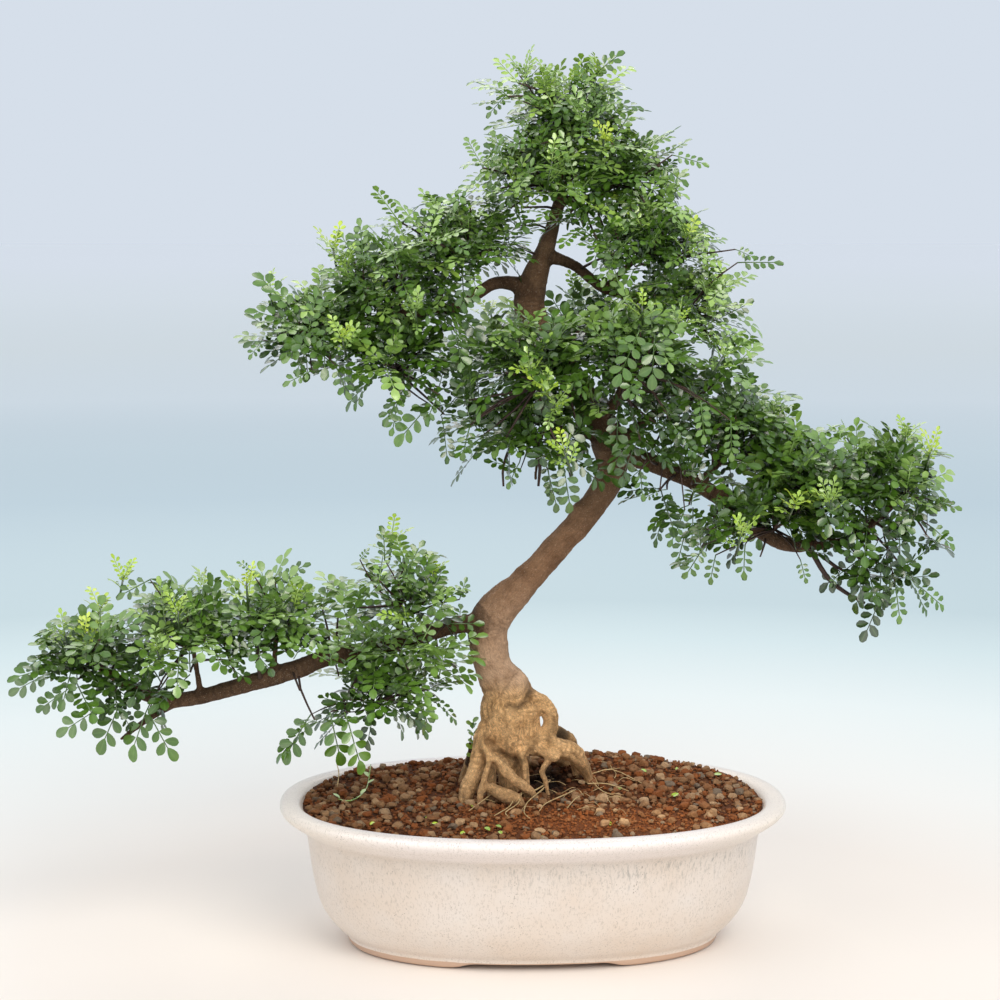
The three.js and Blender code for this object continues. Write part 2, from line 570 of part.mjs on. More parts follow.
padIndex = 0;
for (const [name, pads] of Object.entries(SPRAYS)) {
  const leaves = pads.flatMap((pad, i) => padLeaves(name, pads, pad, padIndex + i));
  const holes = shoots.filter((shoot) => shoot.spray === name).map((shoot) => shoot.hole);
  const full = holes.reduce((rest, hole) => rest.subtract(hole), joined([cores[name], ...leaves]));
  const material = name === BASE_SHOOT ? YOUNG_GREEN : LEAF_GREEN;
  addPiece(plant, name, largest(full.subtract(woodWithGap)), material);
  padIndex += pads.length;
}

// The whole piece stands with the middle of its outline over the origin
const bonsai = new THREE.Group();
bonsai.add(potting, plant);
const box = new THREE.Box3().setFromObject(bonsai);
const middle = box.getCenter(new THREE.Vector3());
bonsai.position.set(-middle.x, -middle.y, -box.min.z);

export default bonsai;
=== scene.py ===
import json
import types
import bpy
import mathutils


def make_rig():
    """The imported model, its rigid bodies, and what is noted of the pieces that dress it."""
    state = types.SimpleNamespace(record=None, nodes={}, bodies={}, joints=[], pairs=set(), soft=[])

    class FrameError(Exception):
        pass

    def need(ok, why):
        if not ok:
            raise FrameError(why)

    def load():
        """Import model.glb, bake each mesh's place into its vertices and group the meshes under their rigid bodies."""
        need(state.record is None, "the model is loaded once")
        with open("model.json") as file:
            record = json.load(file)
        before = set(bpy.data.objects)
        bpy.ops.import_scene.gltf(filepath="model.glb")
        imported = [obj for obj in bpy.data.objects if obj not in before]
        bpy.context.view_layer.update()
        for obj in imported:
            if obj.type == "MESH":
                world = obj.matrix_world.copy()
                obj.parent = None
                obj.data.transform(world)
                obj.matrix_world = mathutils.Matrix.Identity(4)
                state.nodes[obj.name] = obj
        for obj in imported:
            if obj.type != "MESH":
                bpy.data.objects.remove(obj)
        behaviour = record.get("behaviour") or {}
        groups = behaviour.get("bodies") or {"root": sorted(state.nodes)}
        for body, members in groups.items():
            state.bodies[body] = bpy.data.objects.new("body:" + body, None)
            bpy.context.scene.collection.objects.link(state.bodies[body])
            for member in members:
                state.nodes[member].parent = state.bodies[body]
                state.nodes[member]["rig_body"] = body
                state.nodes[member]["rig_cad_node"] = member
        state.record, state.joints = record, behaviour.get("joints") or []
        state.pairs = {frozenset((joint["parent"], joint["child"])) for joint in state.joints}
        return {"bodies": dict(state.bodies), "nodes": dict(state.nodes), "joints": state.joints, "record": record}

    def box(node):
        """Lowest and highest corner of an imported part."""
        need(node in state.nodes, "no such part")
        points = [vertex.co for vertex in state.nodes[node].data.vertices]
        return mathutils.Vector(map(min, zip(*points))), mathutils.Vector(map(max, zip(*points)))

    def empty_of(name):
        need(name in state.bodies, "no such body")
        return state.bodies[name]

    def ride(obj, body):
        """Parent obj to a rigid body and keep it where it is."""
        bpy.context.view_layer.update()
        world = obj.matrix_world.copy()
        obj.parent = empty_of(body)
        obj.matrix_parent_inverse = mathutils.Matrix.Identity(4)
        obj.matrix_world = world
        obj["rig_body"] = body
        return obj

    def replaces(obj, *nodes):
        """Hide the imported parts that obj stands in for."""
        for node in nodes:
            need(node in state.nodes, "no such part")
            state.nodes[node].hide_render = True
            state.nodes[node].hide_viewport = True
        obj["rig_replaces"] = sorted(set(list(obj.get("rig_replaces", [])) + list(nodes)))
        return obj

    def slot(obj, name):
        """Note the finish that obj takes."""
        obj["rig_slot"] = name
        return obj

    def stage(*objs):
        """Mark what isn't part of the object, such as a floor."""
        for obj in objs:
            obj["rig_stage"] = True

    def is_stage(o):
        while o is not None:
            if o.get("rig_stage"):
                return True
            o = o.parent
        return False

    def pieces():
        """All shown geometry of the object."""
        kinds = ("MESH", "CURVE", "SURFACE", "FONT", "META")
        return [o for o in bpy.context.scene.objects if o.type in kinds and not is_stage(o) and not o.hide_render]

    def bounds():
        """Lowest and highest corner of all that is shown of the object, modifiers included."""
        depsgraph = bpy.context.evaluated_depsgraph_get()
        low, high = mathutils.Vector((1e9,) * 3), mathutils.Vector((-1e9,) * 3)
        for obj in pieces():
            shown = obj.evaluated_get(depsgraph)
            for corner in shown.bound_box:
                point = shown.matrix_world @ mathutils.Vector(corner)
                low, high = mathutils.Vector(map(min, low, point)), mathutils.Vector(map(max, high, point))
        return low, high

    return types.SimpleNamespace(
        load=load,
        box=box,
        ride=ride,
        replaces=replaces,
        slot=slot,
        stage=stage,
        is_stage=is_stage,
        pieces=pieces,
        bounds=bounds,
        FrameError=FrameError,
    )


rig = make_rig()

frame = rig.load()

import json
import math
import random

import bmesh
import bpy
import numpy as np
from bpy.props import FloatProperty, FloatVectorProperty, IntProperty, PointerProperty
from bpy.types import Operator, Panel, PropertyGroup
from mathutils import Matrix, Vector, noise
from mathutils.kdtree import KDTree

bl_info = {
    "name": "Japanese Pepper Bonsai",
    "version": (1, 0, 0),
    "blender": (4, 5, 0),
    "location": "3D Viewport > Sidebar > Bonsai",
    "description": "Dresses a potted pepper bonsai: glazed pot, granular soil, wood and leaves",
    "category": "Add Mesh",
}

CAD_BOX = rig.bounds()

# All places below are in millimetres from the middle of the pot's foot: X right, Y back, Z up
MM = 0.001
POT_LOW, POT_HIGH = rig.box("pot")
POT_CENTRE = Vector(((POT_LOW.x + POT_HIGH.x) / 2, (POT_LOW.y + POT_HIGH.y) / 2, POT_LOW.z))

# Photograph's viewpoint, its aim and its focal length in pixels of the frame
CAMERA_PLACE = Vector((-113, -1998.1, 584.9))
CAMERA_AIM = Vector((-25.8, 0, 349))
FOCAL_PIXELS = 2580
FRAME_PIXELS = 1000
SENSOR = 36

# Floor from cream to the pale surroundings, with painted light: the stops make up for the lamps' falloff, so the floor
# is painted paler and whiter far off, where only the surroundings light it. Reach of the fade in metres, then shares
# of it and colours
FLOOR_FADE = 20
FLOOR_COLOURS = [
    (0.0, (0.90, 0.86, 0.82)), (0.0125, (0.83, 0.765, 0.70)), (0.0185, (0.81, 0.74, 0.675)),
    (0.032, (0.80, 0.785, 0.745)), (0.05, (0.75, 0.79, 0.768)), (0.07, (0.63, 0.72, 0.72)),
    (0.086, (0.545, 0.64, 0.655)), (0.152, (0.60, 0.695, 0.725)), (0.203, (0.73, 0.81, 0.82)),
    (0.277, (0.87, 0.91, 0.905)), (0.4, (0.91, 0.93, 0.90)), (0.64, (0.97, 0.98, 0.96)),
    (1.0, (0.996, 0.996, 0.996)),
]
SURROUNDINGS = (0.672, 0.737, 0.823)

# Soft lights: name, place in metres from the pot, size and watts
LIGHTS = [
    ("key", (0.8, -2.2, 1.9), 1.8, 56),
    ("fill", (-2.0, -1.2, 1.5), 2.4, 20),
    ("back", (-0.3, 1.9, 2.5), 2.4, 24),
]
LIGHT_COLOUR = (1, 0.94, 0.86)
LIGHT_AIM = (0, 0, 0.35)

# Seeds of the random draws, and nearly a full turn for them to pick from
STORE_SEED = 7
SOIL_SEED = 11
SCRAPS_SEED = 5
FOLIAGE_SEED = 3
FULL_TURN = 6.28

# Oval pot: half widths along X with heights, turned and pressed into an oval
OVAL_POWER = 2.25
WIDE_FROM = 147
WIDE_DEPTH_STEP = 50
LIP_DEPTH_GAIN = 4
NARROW_DEPTH_RATIO = 0.66
POT_TURNS = 96
POT_PROFILE = [
    (0, 5.5), (60, 5.5), (128, 5.5), (132, 5), (133.5, 2), (135, 0.6), (137, 0), (142, 0), (145.2, 0.5),
    (146.4, 2.4), (147.4, 6), (148.4, 8.6), (150.4, 10.2), (154.2, 13.2), (160.2, 20), (165.6, 27.5),
    (169.6, 36), (172.8, 48), (175.2, 62), (177, 76), (178.2, 86), (179.6, 90.6), (183, 94.4),
    (189, 98.4), (195, 102.4), (198.6, 106), (200, 109.4), (199, 112.2), (196, 113.6), (191, 114),
    (186.5, 113.4), (183.2, 111.2), (181.4, 107), (175, 98), (167, 88), (151, 25), (147, 18), (140, 14.3),
    (60, 14), (0, 14),
]
FOOT_GAP_HALF = 63.5
FOOT_GAP_SLOPE = 9
FOOT_GAP_HEIGHT = 4.5

# Soil heaped towards the back right of the trunk
RIM_INSIDE = 183
SOIL_EDGE = 108.5
SOIL_BACK_RISE = 5
SOIL_BACK_TO = 100
SOIL_DOME = 4
SOIL_HEAP = {"x": 50, "y": 60, "height": 15, "reach_x": 75, "reach_y": 50}
FINES = {"x": 58, "y": -76, "reach_x": 118, "reach_y": 46, "stretch": 2.4, "fade": 140}
SOIL_WALL = [(142.5, 14.4), (150.5, 25), (166.5, 88)]
SOIL_BOTTOM = 14.4
SOIL_RINGS = 28
# Loose grains: name, sizes, likely share among pebbles with its change among fines, and tones
GRAINS = [
    ("soil_crumbs", (0.8, 1.9), (0.45, 0.55), (0.16, 0.22, 0.28, 0.3, 0.34, 0.38, 0.46)),
    ("soil_grit", (1.5, 2.8), (1, -0.5),
     (0.14, 0.22, 0.26, 0.34, 0.38, 0.42, 0.46, 0.5, 0.58, 0.66, 0.92)),
    ("soil_stones", (2.7, 5.4), (1, -0.94),
     (0.3, 0.36, 0.42, 0.46, 0.5, 0.52, 0.56, 0.6, 0.62, 0.64, 0.66, 0.68, 0.7, 0.72, 0.76, 0.8,
      0.88, 0.96)),
]
# Painted shadow that darkens the soil in the cavity under the roots and bulb: middle and reach
ROOT_SHADOW = {"x": 8, "y": 18, "reach": 60}
# Larger stones: x, y, radius and tone
LARGE_STONES = [
    (53, -24, 6.6, 0.8), (65, -90, 5.4, 0.78), (50, -90, 4.6, 0.74), (86, -27, 5.2, 0.82),
    (124, -12, 5, 0.72), (148, -9, 4.8, 0.84), (-105, 43, 5.4, 0.76), (-125, 1, 5.2, 0.7),
    (-117, -48, 5.6, 0.84), (-101, -3, 5, 0.74), (-73, 23, 4.6, 0.7), (49, -55, 4.4, 0.8),
    (-50, -25, 4.8, 0.8), (-18, -58, 4.2, 0.74), (104, 30, 5.2, 0.8), (-140, 30, 5, 0.78),
    (-90, -70, 4.8, 0.7), (-150, -30, 4.6, 0.82), (20, -40, 4.2, 0.56), (158, 20, 4.8, 0.7),
]
# Dead rootlets: x, y, height over the soil and radius
ROOTLETS = [
    [(-4, 6, 8, 0.55), (-10, -20, 6, 0.5), (-14, -40, 4, 0.5), (-24, -60, 3, 0.45), (-22, -72, 2, 0.3)],
    [(14, 2, 9, 0.6), (2, -12, 7, 0.6), (-14, -20, 5, 0.55), (-20, -44, 3.4, 0.5), (-33, -66, 2, 0.35)],
    [(12, 0, 7, 0.5), (4, -16, 6, 0.5), (-6, -36, 4, 0.45), (-10, -62, 3, 0.4), (-6, -76, 2, 0.3)],
    [(34, -3, 3, 0.5), (24, -20, 5, 0.5), (8, -40, 4, 0.45), (2, -57, 2.6, 0.35)],
    [(36, -18, 3, 0.45), (31, -30, 4, 0.45), (24, -48, 2.2, 0.35)],
    [(44, 4, 5, 0.5), (60, 6, 4, 0.5), (76, -4, 2.6, 0.35)],
    [(48, 22, 4, 0.45), (66, 32, 3, 0.45), (88, 14, 2.4, 0.3)],
    [(48, 10, 4, 0.4), (56, -8, 3, 0.4), (74, -22, 2.4, 0.3)],
    [(-30, -16, 8, 0.45), (-42, -32, 4, 0.45), (-52, -52, 2.4, 0.3)],
    [(-155, 36, 3, 0.45), (-154, 52, 9, 0.45), (-156, 66, 14, 0.35)],
]
# Fine hair roots: their number and the middle and reach of the ground that they lie on
HAIR_ROOTS = 46
HAIR_GROUND = {"x": 18, "y": -6, "reach_x": 56, "reach_y": 48}
# Fallen leaflets: x, y and tone
FALLEN_LEAFLETS = [
    (-47, -26, 0.85), (-56, -107, 0.9), (-38, -108, 0.7), (-29, -100, 0.6), (1, -122, 0.88),
    (51, -84, 0.95), (116, -3, 0.8), (67, -1, 0.6), (150, 52, 0.7), (121, 60, 0.8), (-86, -66, 0.85),
    (-76, -86, 0.9), (-128, -83, 0.95), (90, 40, 0.75), (-30, -118, 0.8),
]
# Thin weed: x, y, height over the soil and radius, and its leaflets with their turns
WEED = [
    (-160, 12, 2, 0.6), (-147, -8, 2.4, 0.6), (-138, -4, 4, 0.6), (-131, 20, 6, 0.5), (-128, 36, 20, 0.4),
]
WEED_LEAFLETS = [
    (-152, 0, 3, 2.6), (-143, -8, 3.5, -0.6), (-136, 2, 5, 0.9), (-131, 22, 8, 0.4), (-130, 28, 12, 2),
]

# Trunk, from the root crown below the soil to the apex: x, y, z and radius
TRUNK = [
    (-16, 14, 95, 9), (-17, 14, 126, 9.5), (-19, 12, 139, 12), (-19, 12, 148, 17), (-19, 12, 159, 20.5),
    (-19, 12, 172, 22), (-19, 12, 184, 22), (-20, 11, 196, 20), (-27, 10, 207, 16.5), (-32, 9, 219, 15),
    (-35, 7, 237, 15.5), (-34, 6, 252, 16.5), (-22, 6, 268, 14.5), (-3, 7, 286, 11.5), (15, 8, 306, 10.6),
    (33, 9, 326, 10.4), (49, 10, 345, 10.6), (60, 11, 363, 11.5), (63, 12, 379, 13), (60, 12, 394, 14.5),
    (56, 12, 406, 12), (45, 15, 422, 11), (26, 18, 451, 10.5), (8, 20, 477, 11), (-2, 21, 498, 12),
    (0, 20, 514, 11.5), (5, 20, 530, 9), (12, 18, 548, 6.5), (17, 16, 566, 5.2), (21, 14, 582, 5),
    (22, 12, 605, 4), (24, 8, 650, 2.4),
]
ROOTS = [
    [(-10, 8, 190, 9), (-1, 6, 190.5, 8), (8.5, 5, 185.5, 7), (14.6, 4, 177, 6.6), (14.6, 3, 168, 6.4),
     (9, 2, 160.5, 6.4), (-2, 3, 157, 7)],
    [(-12, 6, 195, 8), (-4.5, 3, 186, 8.8), (-4, 2, 174, 9), (-4.4, 2, 162, 8.8)],
    [(-10, 4, 156, 9), (4, 0, 152.5, 8), (16, -1, 152.5, 8), (29, 1, 149, 7.6), (37, 6, 141, 6.6),
     (43, 13, 130, 4.8), (49, 20, 114, 2.2)],
    [(13, 6, 166, 5), (19, 11, 163, 5), (25, 14, 159, 5), (33, 19, 151, 4.4), (38, 32, 112, 3.4)],
    [(8, 0, 153, 4.5), (13, -6, 145, 3.6), (7, -6, 134, 2.4), (10, -6, 126, 2.2), (13, -5, 106, 2)],
    [(8, -2, 152, 5), (15, -8, 147.5, 4.4), (19, -12, 144.5, 3.2)],
    [(-33, 9, 170, 7), (-40, 0, 160, 6.6), (-44, -10, 143, 6.4), (-49, -13, 130, 6.4), (-53, -15, 118, 6),
     (-55, -16, 100, 5)],
    [(-37, -4, 163, 3.2), (-39, -14, 158, 3), (-35.4, -23, 148, 2.6), (-39.4, -25, 132, 2.6),
     (-42.5, -26, 120, 2.6), (-42, -27, 102, 2.4)],
    [(-31, -3, 151, 4.6), (-34, -13, 150, 4.2), (-26, -20, 145, 4.6), (-19, -20, 134, 4.4),
     (-8, -19, 125, 4), (0, -17, 118, 3), (5, -15, 106, 2.4)],
    [(-36, -22, 126, 4.5), (-28, -26, 122, 5.4), (-20, -27, 119, 5.4), (-13, -26, 116, 4.6),
     (-8, -24, 104, 3.6)],
    [(-10, -6, 150, 4.6), (-6.6, -9, 140, 3.4), (-5.8, -10, 128, 3), (-4, -8, 104, 2.8)],
    [(-29, 3, 150, 4), (-32, -3, 135, 4), (-33, -5, 104, 3.8)],
    [(-30, 16, 158, 7), (-38, 23, 150, 6.5), (-46, 32, 136, 6), (-55, 46, 106, 5)],
    [(-18, 20, 152, 9), (-10, 36, 141, 7), (-4, 52, 129, 6), (2, 66, 106, 5)],
    [(-6, 18, 152, 8), (12, 32, 142, 6.5), (28, 46, 131, 5.5), (42, 62, 108, 4.5)],
]
BRANCHES = [
    [(-34, 6, 252, 10), (-48, 2, 252, 7.5), (-69, -5, 249, 6.8), (-105, -10, 240, 6.4),
     (-136, -15, 233, 6.4), (-164, -20, 228, 7.2), (-183, -23, 221, 7.6), (-203, -26, 215.5, 7.4),
     (-231, -29, 208, 6.6), (-257, -30, 201, 6), (-282, -30, 198, 6), (-298, -31, 202, 5.4),
     (-314, -33, 211, 4.6), (-342, -35, 230, 2.2)],
    [(60, 11, 386, 11), (82, 4, 381, 8), (98, -4, 376, 7.2), (128, -14, 362, 6.6), (155, -20, 344, 6.2),
     (175, -23, 326, 5.8), (196, -25, 316, 5.6), (219, -25, 316, 5), (240, -25, 320, 4.4),
     (264, -25, 334, 3.6), (288, -25, 356, 2.6)],
    [(0, 20, 512, 9), (-15, 17, 517, 6), (-30, 12, 517, 5), (-46, 5, 508, 4.8), (-62, 0, 499, 4.6),
     (-89, -6, 496, 4.4), (-119, -10, 491, 4), (-150, -12, 486, 3.4), (-182, -12, 482, 2.6)],
    [(6, 20, 538, 7), (20, 21, 536, 5), (34, 22, 530, 4.4), (47, 25, 520, 4.2), (58, 28, 512, 4.2),
     (83, 30, 505, 3.8), (108, 24, 496, 3.2), (128, 18, 490, 2.2)],
]
TWIGS = [
    [(-280, -32, 196, 3.8), (-300, -36, 184, 2.8), (-320, -38, 169, 1.8)],
    [(-257, -30, 195, 3), (-264, -30, 240, 2)],
    [(-203, -25, 214, 3), (-200, -26, 246, 2)],
    [(-127, -14, 234, 3.5), (-130, -20, 216, 2.6)],
    [(-105, -10, 240, 3.5), (-104, -13, 270, 2.4)],
    [(-74, 6, 500, 3.2), (-66, 4, 538, 2.4)],
    [(58, 28, 512, 3.6), (86, 27, 540, 2.4)],
    [(21, 14, 580, 4), (50, 14, 585, 2.8), (64, 14, 594, 2.4)],
    [(46, 14, 420, 5.5), (41, -10, 432, 4.5), (18, -48, 451, 3.2)],
    [(50, 13, 412, 5.5), (64, -20, 429, 4.4), (70, -46, 454, 3.2)],
    [(56, 12, 398, 6), (34, 4, 402, 4), (8, -8, 407, 3)],
    [(8, -8, 408, 2.6), (3, -13, 390, 2), (1, -18, 366, 1.5)],
    [(20, 19, 464, 5.5), (42, 48, 476, 4), (54, 66, 482, 3.2)],
    [(32, 17, 444, 5.5), (12, 42, 454, 4), (-4, 60, 461, 3)],
    [(60, 11, 388, 7), (80, 8, 402, 4.6), (98, 0, 420, 3)],
    [(128, -14, 362, 4), (150, -8, 384, 2.6)],
    [(-50, 26, 134, 2.4), (-48, 21, 158, 1.2)],
]
ROOT_TOP = 203
WOOD_VOXEL = 1.7
LIMB_SIDES = 14

# Knots and dents of the bark: place, reach and height
KNOTS = [
    ((-44, -6, 262), 5, 1.8), ((-14, -2, 299), 4, 1.4), ((2, -3, 310), 4, 1.2), ((20, -2, 326), 4, 1.3),
    ((-13, 3, 295), 5, 1.8), ((36, 5, 342), 6, 3), ((45, 5, 315), 6, 2.8), ((9, 0, 281), 4.5, 1.2),
    ((-34, -10, 219), 3.6, -1.2), ((-41, -9, 210), 7, -1.2), ((-9, -10, 178), 8, 2),
    ((-28, -12, 176), 8, 1.8), ((-14, -12, 191), 4.5, -1.6), ((-22, -11, 187), 4, -1.4),
    ((2, -8, 188), 4, -1.6), ((22, -9, 156), 4, 1.4), ((-26, -24, 146), 3.4, 1.4), ((38, 0, 146), 5, 1.2),
    ((70, 0, 376), 5, 1.8), ((52, 0, 392), 6, 1.6), ((-8, 10, 500), 5, 1.6), ((4, 10, 520), 5, 1.4),
]
# Creases round the bulb's front: depth, reach and places along X and Z
CREASES = [
    (1.0, 1.9, [(-40, 197), (-28, 200), (-17, 202), (-3, 203), (5, 200)]),
    (2.6, 2.3, [(-20, 188), (-12, 186), (-6.6, 189), (-1, 198)]),
    (1.0, 1.8, [(-24, 192), (-10.5, 195), (-2, 202)]),
    (1.8, 2.2, [(-39, 165), (-34, 158), (-28, 151.5), (-22, 146), (-12.5, 142), (-3, 149), (2, 160)]),
]
# A mossy stub, and painted shade under the right root and in the bark's scar and dents, that darken the wood: place
# and reach
MOSS_AND_SHADE_SPOTS = [
    ((24, 8, 160), 9), ((33, 18, 148), 8), ((-34, -10, 219), 3.4), ((-13, -12, 191), 2.6),
    ((-22, -11, 187), 2.4),
]

# Pads of leaves: x, y, z, half width, half depth and half height
SPRAYS = {
    "spray_low_left": [
        (-346, -34, 234, 56, 56, 32), (-268, -29, 253, 62, 66, 40), (-203, -25, 256, 44, 52, 36),
    ],
    "spray_low_inner": [(-126, -26, 205, 54, 57, 40)],
    "spray_low_upright": [(-98, -13, 271, 25, 35, 31)],
    "spray_crown_left": [
        (-168, -12, 481, 52, 56, 42), (-106, -10, 462, 50, 52, 32), (-112, -8, 512, 62, 66, 50),
        (-56, -3, 548, 46, 50, 38),
    ],
    "spray_apex": [(28, 8, 644, 54, 54, 40), (10, 8, 604, 60, 60, 38), (72, 14, 602, 44, 46, 34)],
    "spray_crown_right": [(92, 24, 550, 54, 58, 44), (114, 18, 498, 52, 52, 44)],
    "spray_front": [(0, -60, 459, 60, 46, 44), (68, -56, 468, 56, 46, 42)],
    "spray_centre_low": [(-4, -12, 410, 48, 50, 30)],
    "spray_centre_right": [(108, -6, 432, 50, 52, 36)],
    "spray_back": [(62, 80, 476, 56, 46, 38), (-12, 74, 458, 54, 46, 36)],
    "spray_low_right": [
        (162, -5, 394, 58, 58, 42), (186, -26, 340, 56, 54, 34), (214, -25, 368, 58, 66, 44),
        (272, -25, 364, 46, 54, 42),
    ],
}

# Shoots that fill the gaps between the pads: x, y, z
EXTRA_SHOOTS = {
    "spray_low_left": [
        (-288, -48, 213), (-304, -48, 222), (-352, -50, 218), (-321, -60, 211), (-294, -66, 212),
        (-263, -66, 227), (-237, -60, 235), (-356, -40, 236), (-330, -75, 254), (-215, -50, 237),
        (-186, 12, 250),
    ],
    "spray_low_inner": [
        (-181, -60, 211), (-170, -55, 187), (-189, -45, 236), (-174, -20, 259), (-73, -20, 222),
        (-165, -20, 270), (-152, -20, 262), (-138, -20, 268), (-137, -46, 240), (-126, -46, 246),
        (-146, -24, 244), (-83, -35, 206), (-61, -5, 239), (-116, -48, 247), (-104, -48, 238),
        (-88, -48, 246), (-78, -44, 235), (-75, -44, 216), (-98, -48, 224), (-143, -60, 203),
        (-158, -70, 236), (-109, -50, 201),
    ],
    "spray_low_upright": [(-120, -40, 292), (-81, -30, 275), (-100, -20, 305)],
    "spray_crown_left": [
        (-64, -34, 500), (-8, -24, 576), (-70, -46, 420), (-22, -14, 548), (-34, -16, 544),
        (-50, -22, 536), (-58, -26, 526), (-103, 0, 565), (-72, 0, 572), (-50, -20, 563), (-62, -35, 491),
        (-54, -45, 469), (-73, -40, 440), (-96, -40, 446), (-115, -50, 458), (-156, -50, 462),
        (-81, -50, 552), (-16, -4, 549), (-10, 0, 562), (-58, -50, 458), (-60, -34, 522), (-75, -34, 533),
    ],
    "spray_apex": [
        (-20, -14, 660), (-12, -14, 670), (-22, -20, 606), (-10, -30, 590), (60, -20, 624),
        (30, -40, 600), (4, -36, 624), (36, -36, 640), (-34, -16, 588), (-18, -20, 576), (8, -30, 588),
        (32, -30, 586), (52, -20, 592), (-40, -20, 606),
    ],
    "spray_crown_right": [
        (48, -26, 550), (60, -26, 541), (36, -24, 564), (27, -24, 572), (64, -20, 552), (77, -20, 531),
        (66, -20, 509), (92, -20, 509), (84, -20, 580), (51, -10, 570), (81, -20, 563), (119, -20, 544),
        (144, -10, 513), (58, -10, 551), (138, -20, 490),
    ],
    "spray_front": [
        (42, -62, 430), (59, -62, 424), (30, -62, 412), (-52, -62, 432), (-50, -56, 414), (-42, -56, 404),
        (-24, -64, 404), (75, -90, 404), (97, -90, 419), (15, -90, 397),
    ],
    "spray_centre_low": [(8, -40, 384), (-20, -40, 400), (-42, -30, 412), (27, -30, 386)],
    "spray_centre_right": [
        (86, -50, 385), (94, -50, 362), (112, -60, 378), (140, -50, 415), (150, -30, 452),
        (167, -20, 436), (135, -24, 472), (146, -24, 462), (110, -50, 402), (92, -46, 412),
        (126, -48, 432), (152, -44, 418), (172, -40, 408), (134, -44, 392),
    ],
    "spray_low_right": [
        (100, -46, 362), (117, -46, 350), (136, -46, 340), (104, -40, 376), (120, -40, 368),
        (148, -45, 330), (262, -50, 322), (286, -40, 296), (308, -20, 345), (305, -30, 322),
        (254, -45, 336), (278, -45, 322), (126, -48, 316), (172, -48, 310), (203, -48, 316),
        (248, -48, 308), (256, -48, 297), (265, -48, 300), (272, -48, 290), (246, -50, 350),
        (264, -50, 340), (280, -45, 334), (232, -50, 352),
    ],
}
# Single leaves that hang or reach out of the pads: foot and tip
LONE_LEAVES = {
    "spray_low_left": [
        ((-364, -45, 228), (-402, -46, 205)), ((-323, -60, 205), (-364, -62, 176)),
        ((-296, -60, 195), (-279, -60, 156)), ((-316, -55, 204), (-335, -58, 164)),
        ((-296, -50, 199), (-313, -52, 158)), ((-213, -55, 240), (-240, -60, 247)),
        ((-200, -30, 290), (-170, -30, 307)), ((-364, -40, 248), (-378, -42, 229)),
        ((-218, -50, 302), (-229, -50, 310)), ((-293, -60, 297), (-322, -62, 282)),
    ],
    "spray_low_inner": [
        ((-147, -70, 196), (-132, -66, 148)), ((-158, -70, 196), (-151, -62, 153)),
        ((-173, -60, 192), (-196, -60, 157)), ((-91, -50, 209), (-79, -50, 173)),
        ((-69, -12, 253), (-35, -16, 252)),
    ],
    "spray_low_upright": [
        ((-116, -25, 306), (-117, -20, 335)), ((-100, -25, 294), (-86, -22, 324)),
        ((-85, -15, 273), (-52, -15, 280)), ((-135, -30, 307), (-126, -30, 316)),
        ((-58, -15, 273), (-50, -15, 292)),
    ],
    "spray_crown_left": [
        ((-208, -30, 476), (-220, -34, 460)), ((-170, -50, 454), (-195, -52, 442)),
        ((-152, -55, 458), (-143, -55, 428)), ((-105, -50, 435), (-110, -50, 400)),
        ((-81, -50, 428), (-108, -45, 398)), ((-74, -60, 436), (-86, -60, 410)),
        ((-72, -10, 570), (-103, -15, 565)), ((-49, -10, 578), (-78, -15, 583)),
    ],
    "spray_apex": [
        ((106, -10, 616), (138, -12, 607)), ((96, -20, 608), (119, -20, 589)),
        ((47, 0, 677), (74, 0, 694)), ((43, -10, 661), (70, -12, 659)),
        ((-22, -10, 661), (-39, -12, 642)), ((-11, -5, 676), (-17, -5, 686)),
    ],
    "spray_crown_right": [((156, -20, 534), (195, -25, 534)), ((154, -20, 544), (171, -20, 534))],
    "spray_front": [
        ((-51, -60, 413), (-59, -58, 383)), ((119, -95, 434), (124, -92, 397)),
        ((73, -100, 487), (57, -98, 444)), ((84, -100, 483), (81, -98, 443)),
        ((143, -85, 418), (147, -82, 384)),
    ],
    "spray_centre_low": [
        ((8, -60, 379), (11, -56, 352)), ((-13, -50, 384), (-24, -50, 361)),
        ((-12, -40, 377), (-43, -44, 383)),
    ],
    "spray_centre_right": [
        ((94, -50, 362), (79, -50, 354)), ((112, -60, 348), (100, -58, 315)),
        ((78, -60, 378), (80, -58, 351)),
    ],
    "spray_low_right": [
        ((276, -50, 290), (282, -50, 253)), ((293, -45, 287), (318, -42, 265)),
        ((308, -30, 351), (334, -30, 341)), ((306, -30, 331), (326, -30, 307)),
        ((157, -70, 322), (156, -66, 291)), ((128, -60, 321), (112, -58, 291)),
        ((136, -60, 313), (131, -56, 287)), ((201, -60, 309), (206, -58, 288)),
        ((114, -50, 330), (106, -50, 300)), ((236, -36, 296), (226, -38, 283)),
        ((268, -46, 296), (284, -44, 276)),
    ],
}
# Bare twigs below the pads
BARE_TWIGS = [
    [(212, -27, 316, 2.3), (226, -33, 292, 2), (240, -34, 280, 1.7), (256, -34, 271, 1.2)],
    [(222, -30, 308, 1.4), (238, -34, 297, 1.1), (255, -34, 292, 0.8)],
    [(-2, -16, 404, 2), (4, -20, 382, 1.6), (3, -20, 362, 1)],
    [(-16, -14, 398, 1.6), (-24, -20, 378, 1.1), (-24, -20, 362, 0.8)],
    [(12, -14, 404, 1.8), (24, -20, 384, 1.3), (28, -22, 368, 0.9)],
    [(-127, -20, 230, 2), (-143, -35, 206, 1.1), (-150, -40, 194, 0.8)],
    [(-120, -20, 208, 1.6), (-108, -22, 202, 1.3), (-89, -20, 195, 0.9)],
    [(-240, -40, 250, 1.6), (-234, -50, 232, 1.2), (-227, -50, 216, 0.9)],
    [(-210, -30, 262, 1.8), (-214, -40, 240, 1.6), (-212, -34, 216, 2)],
]
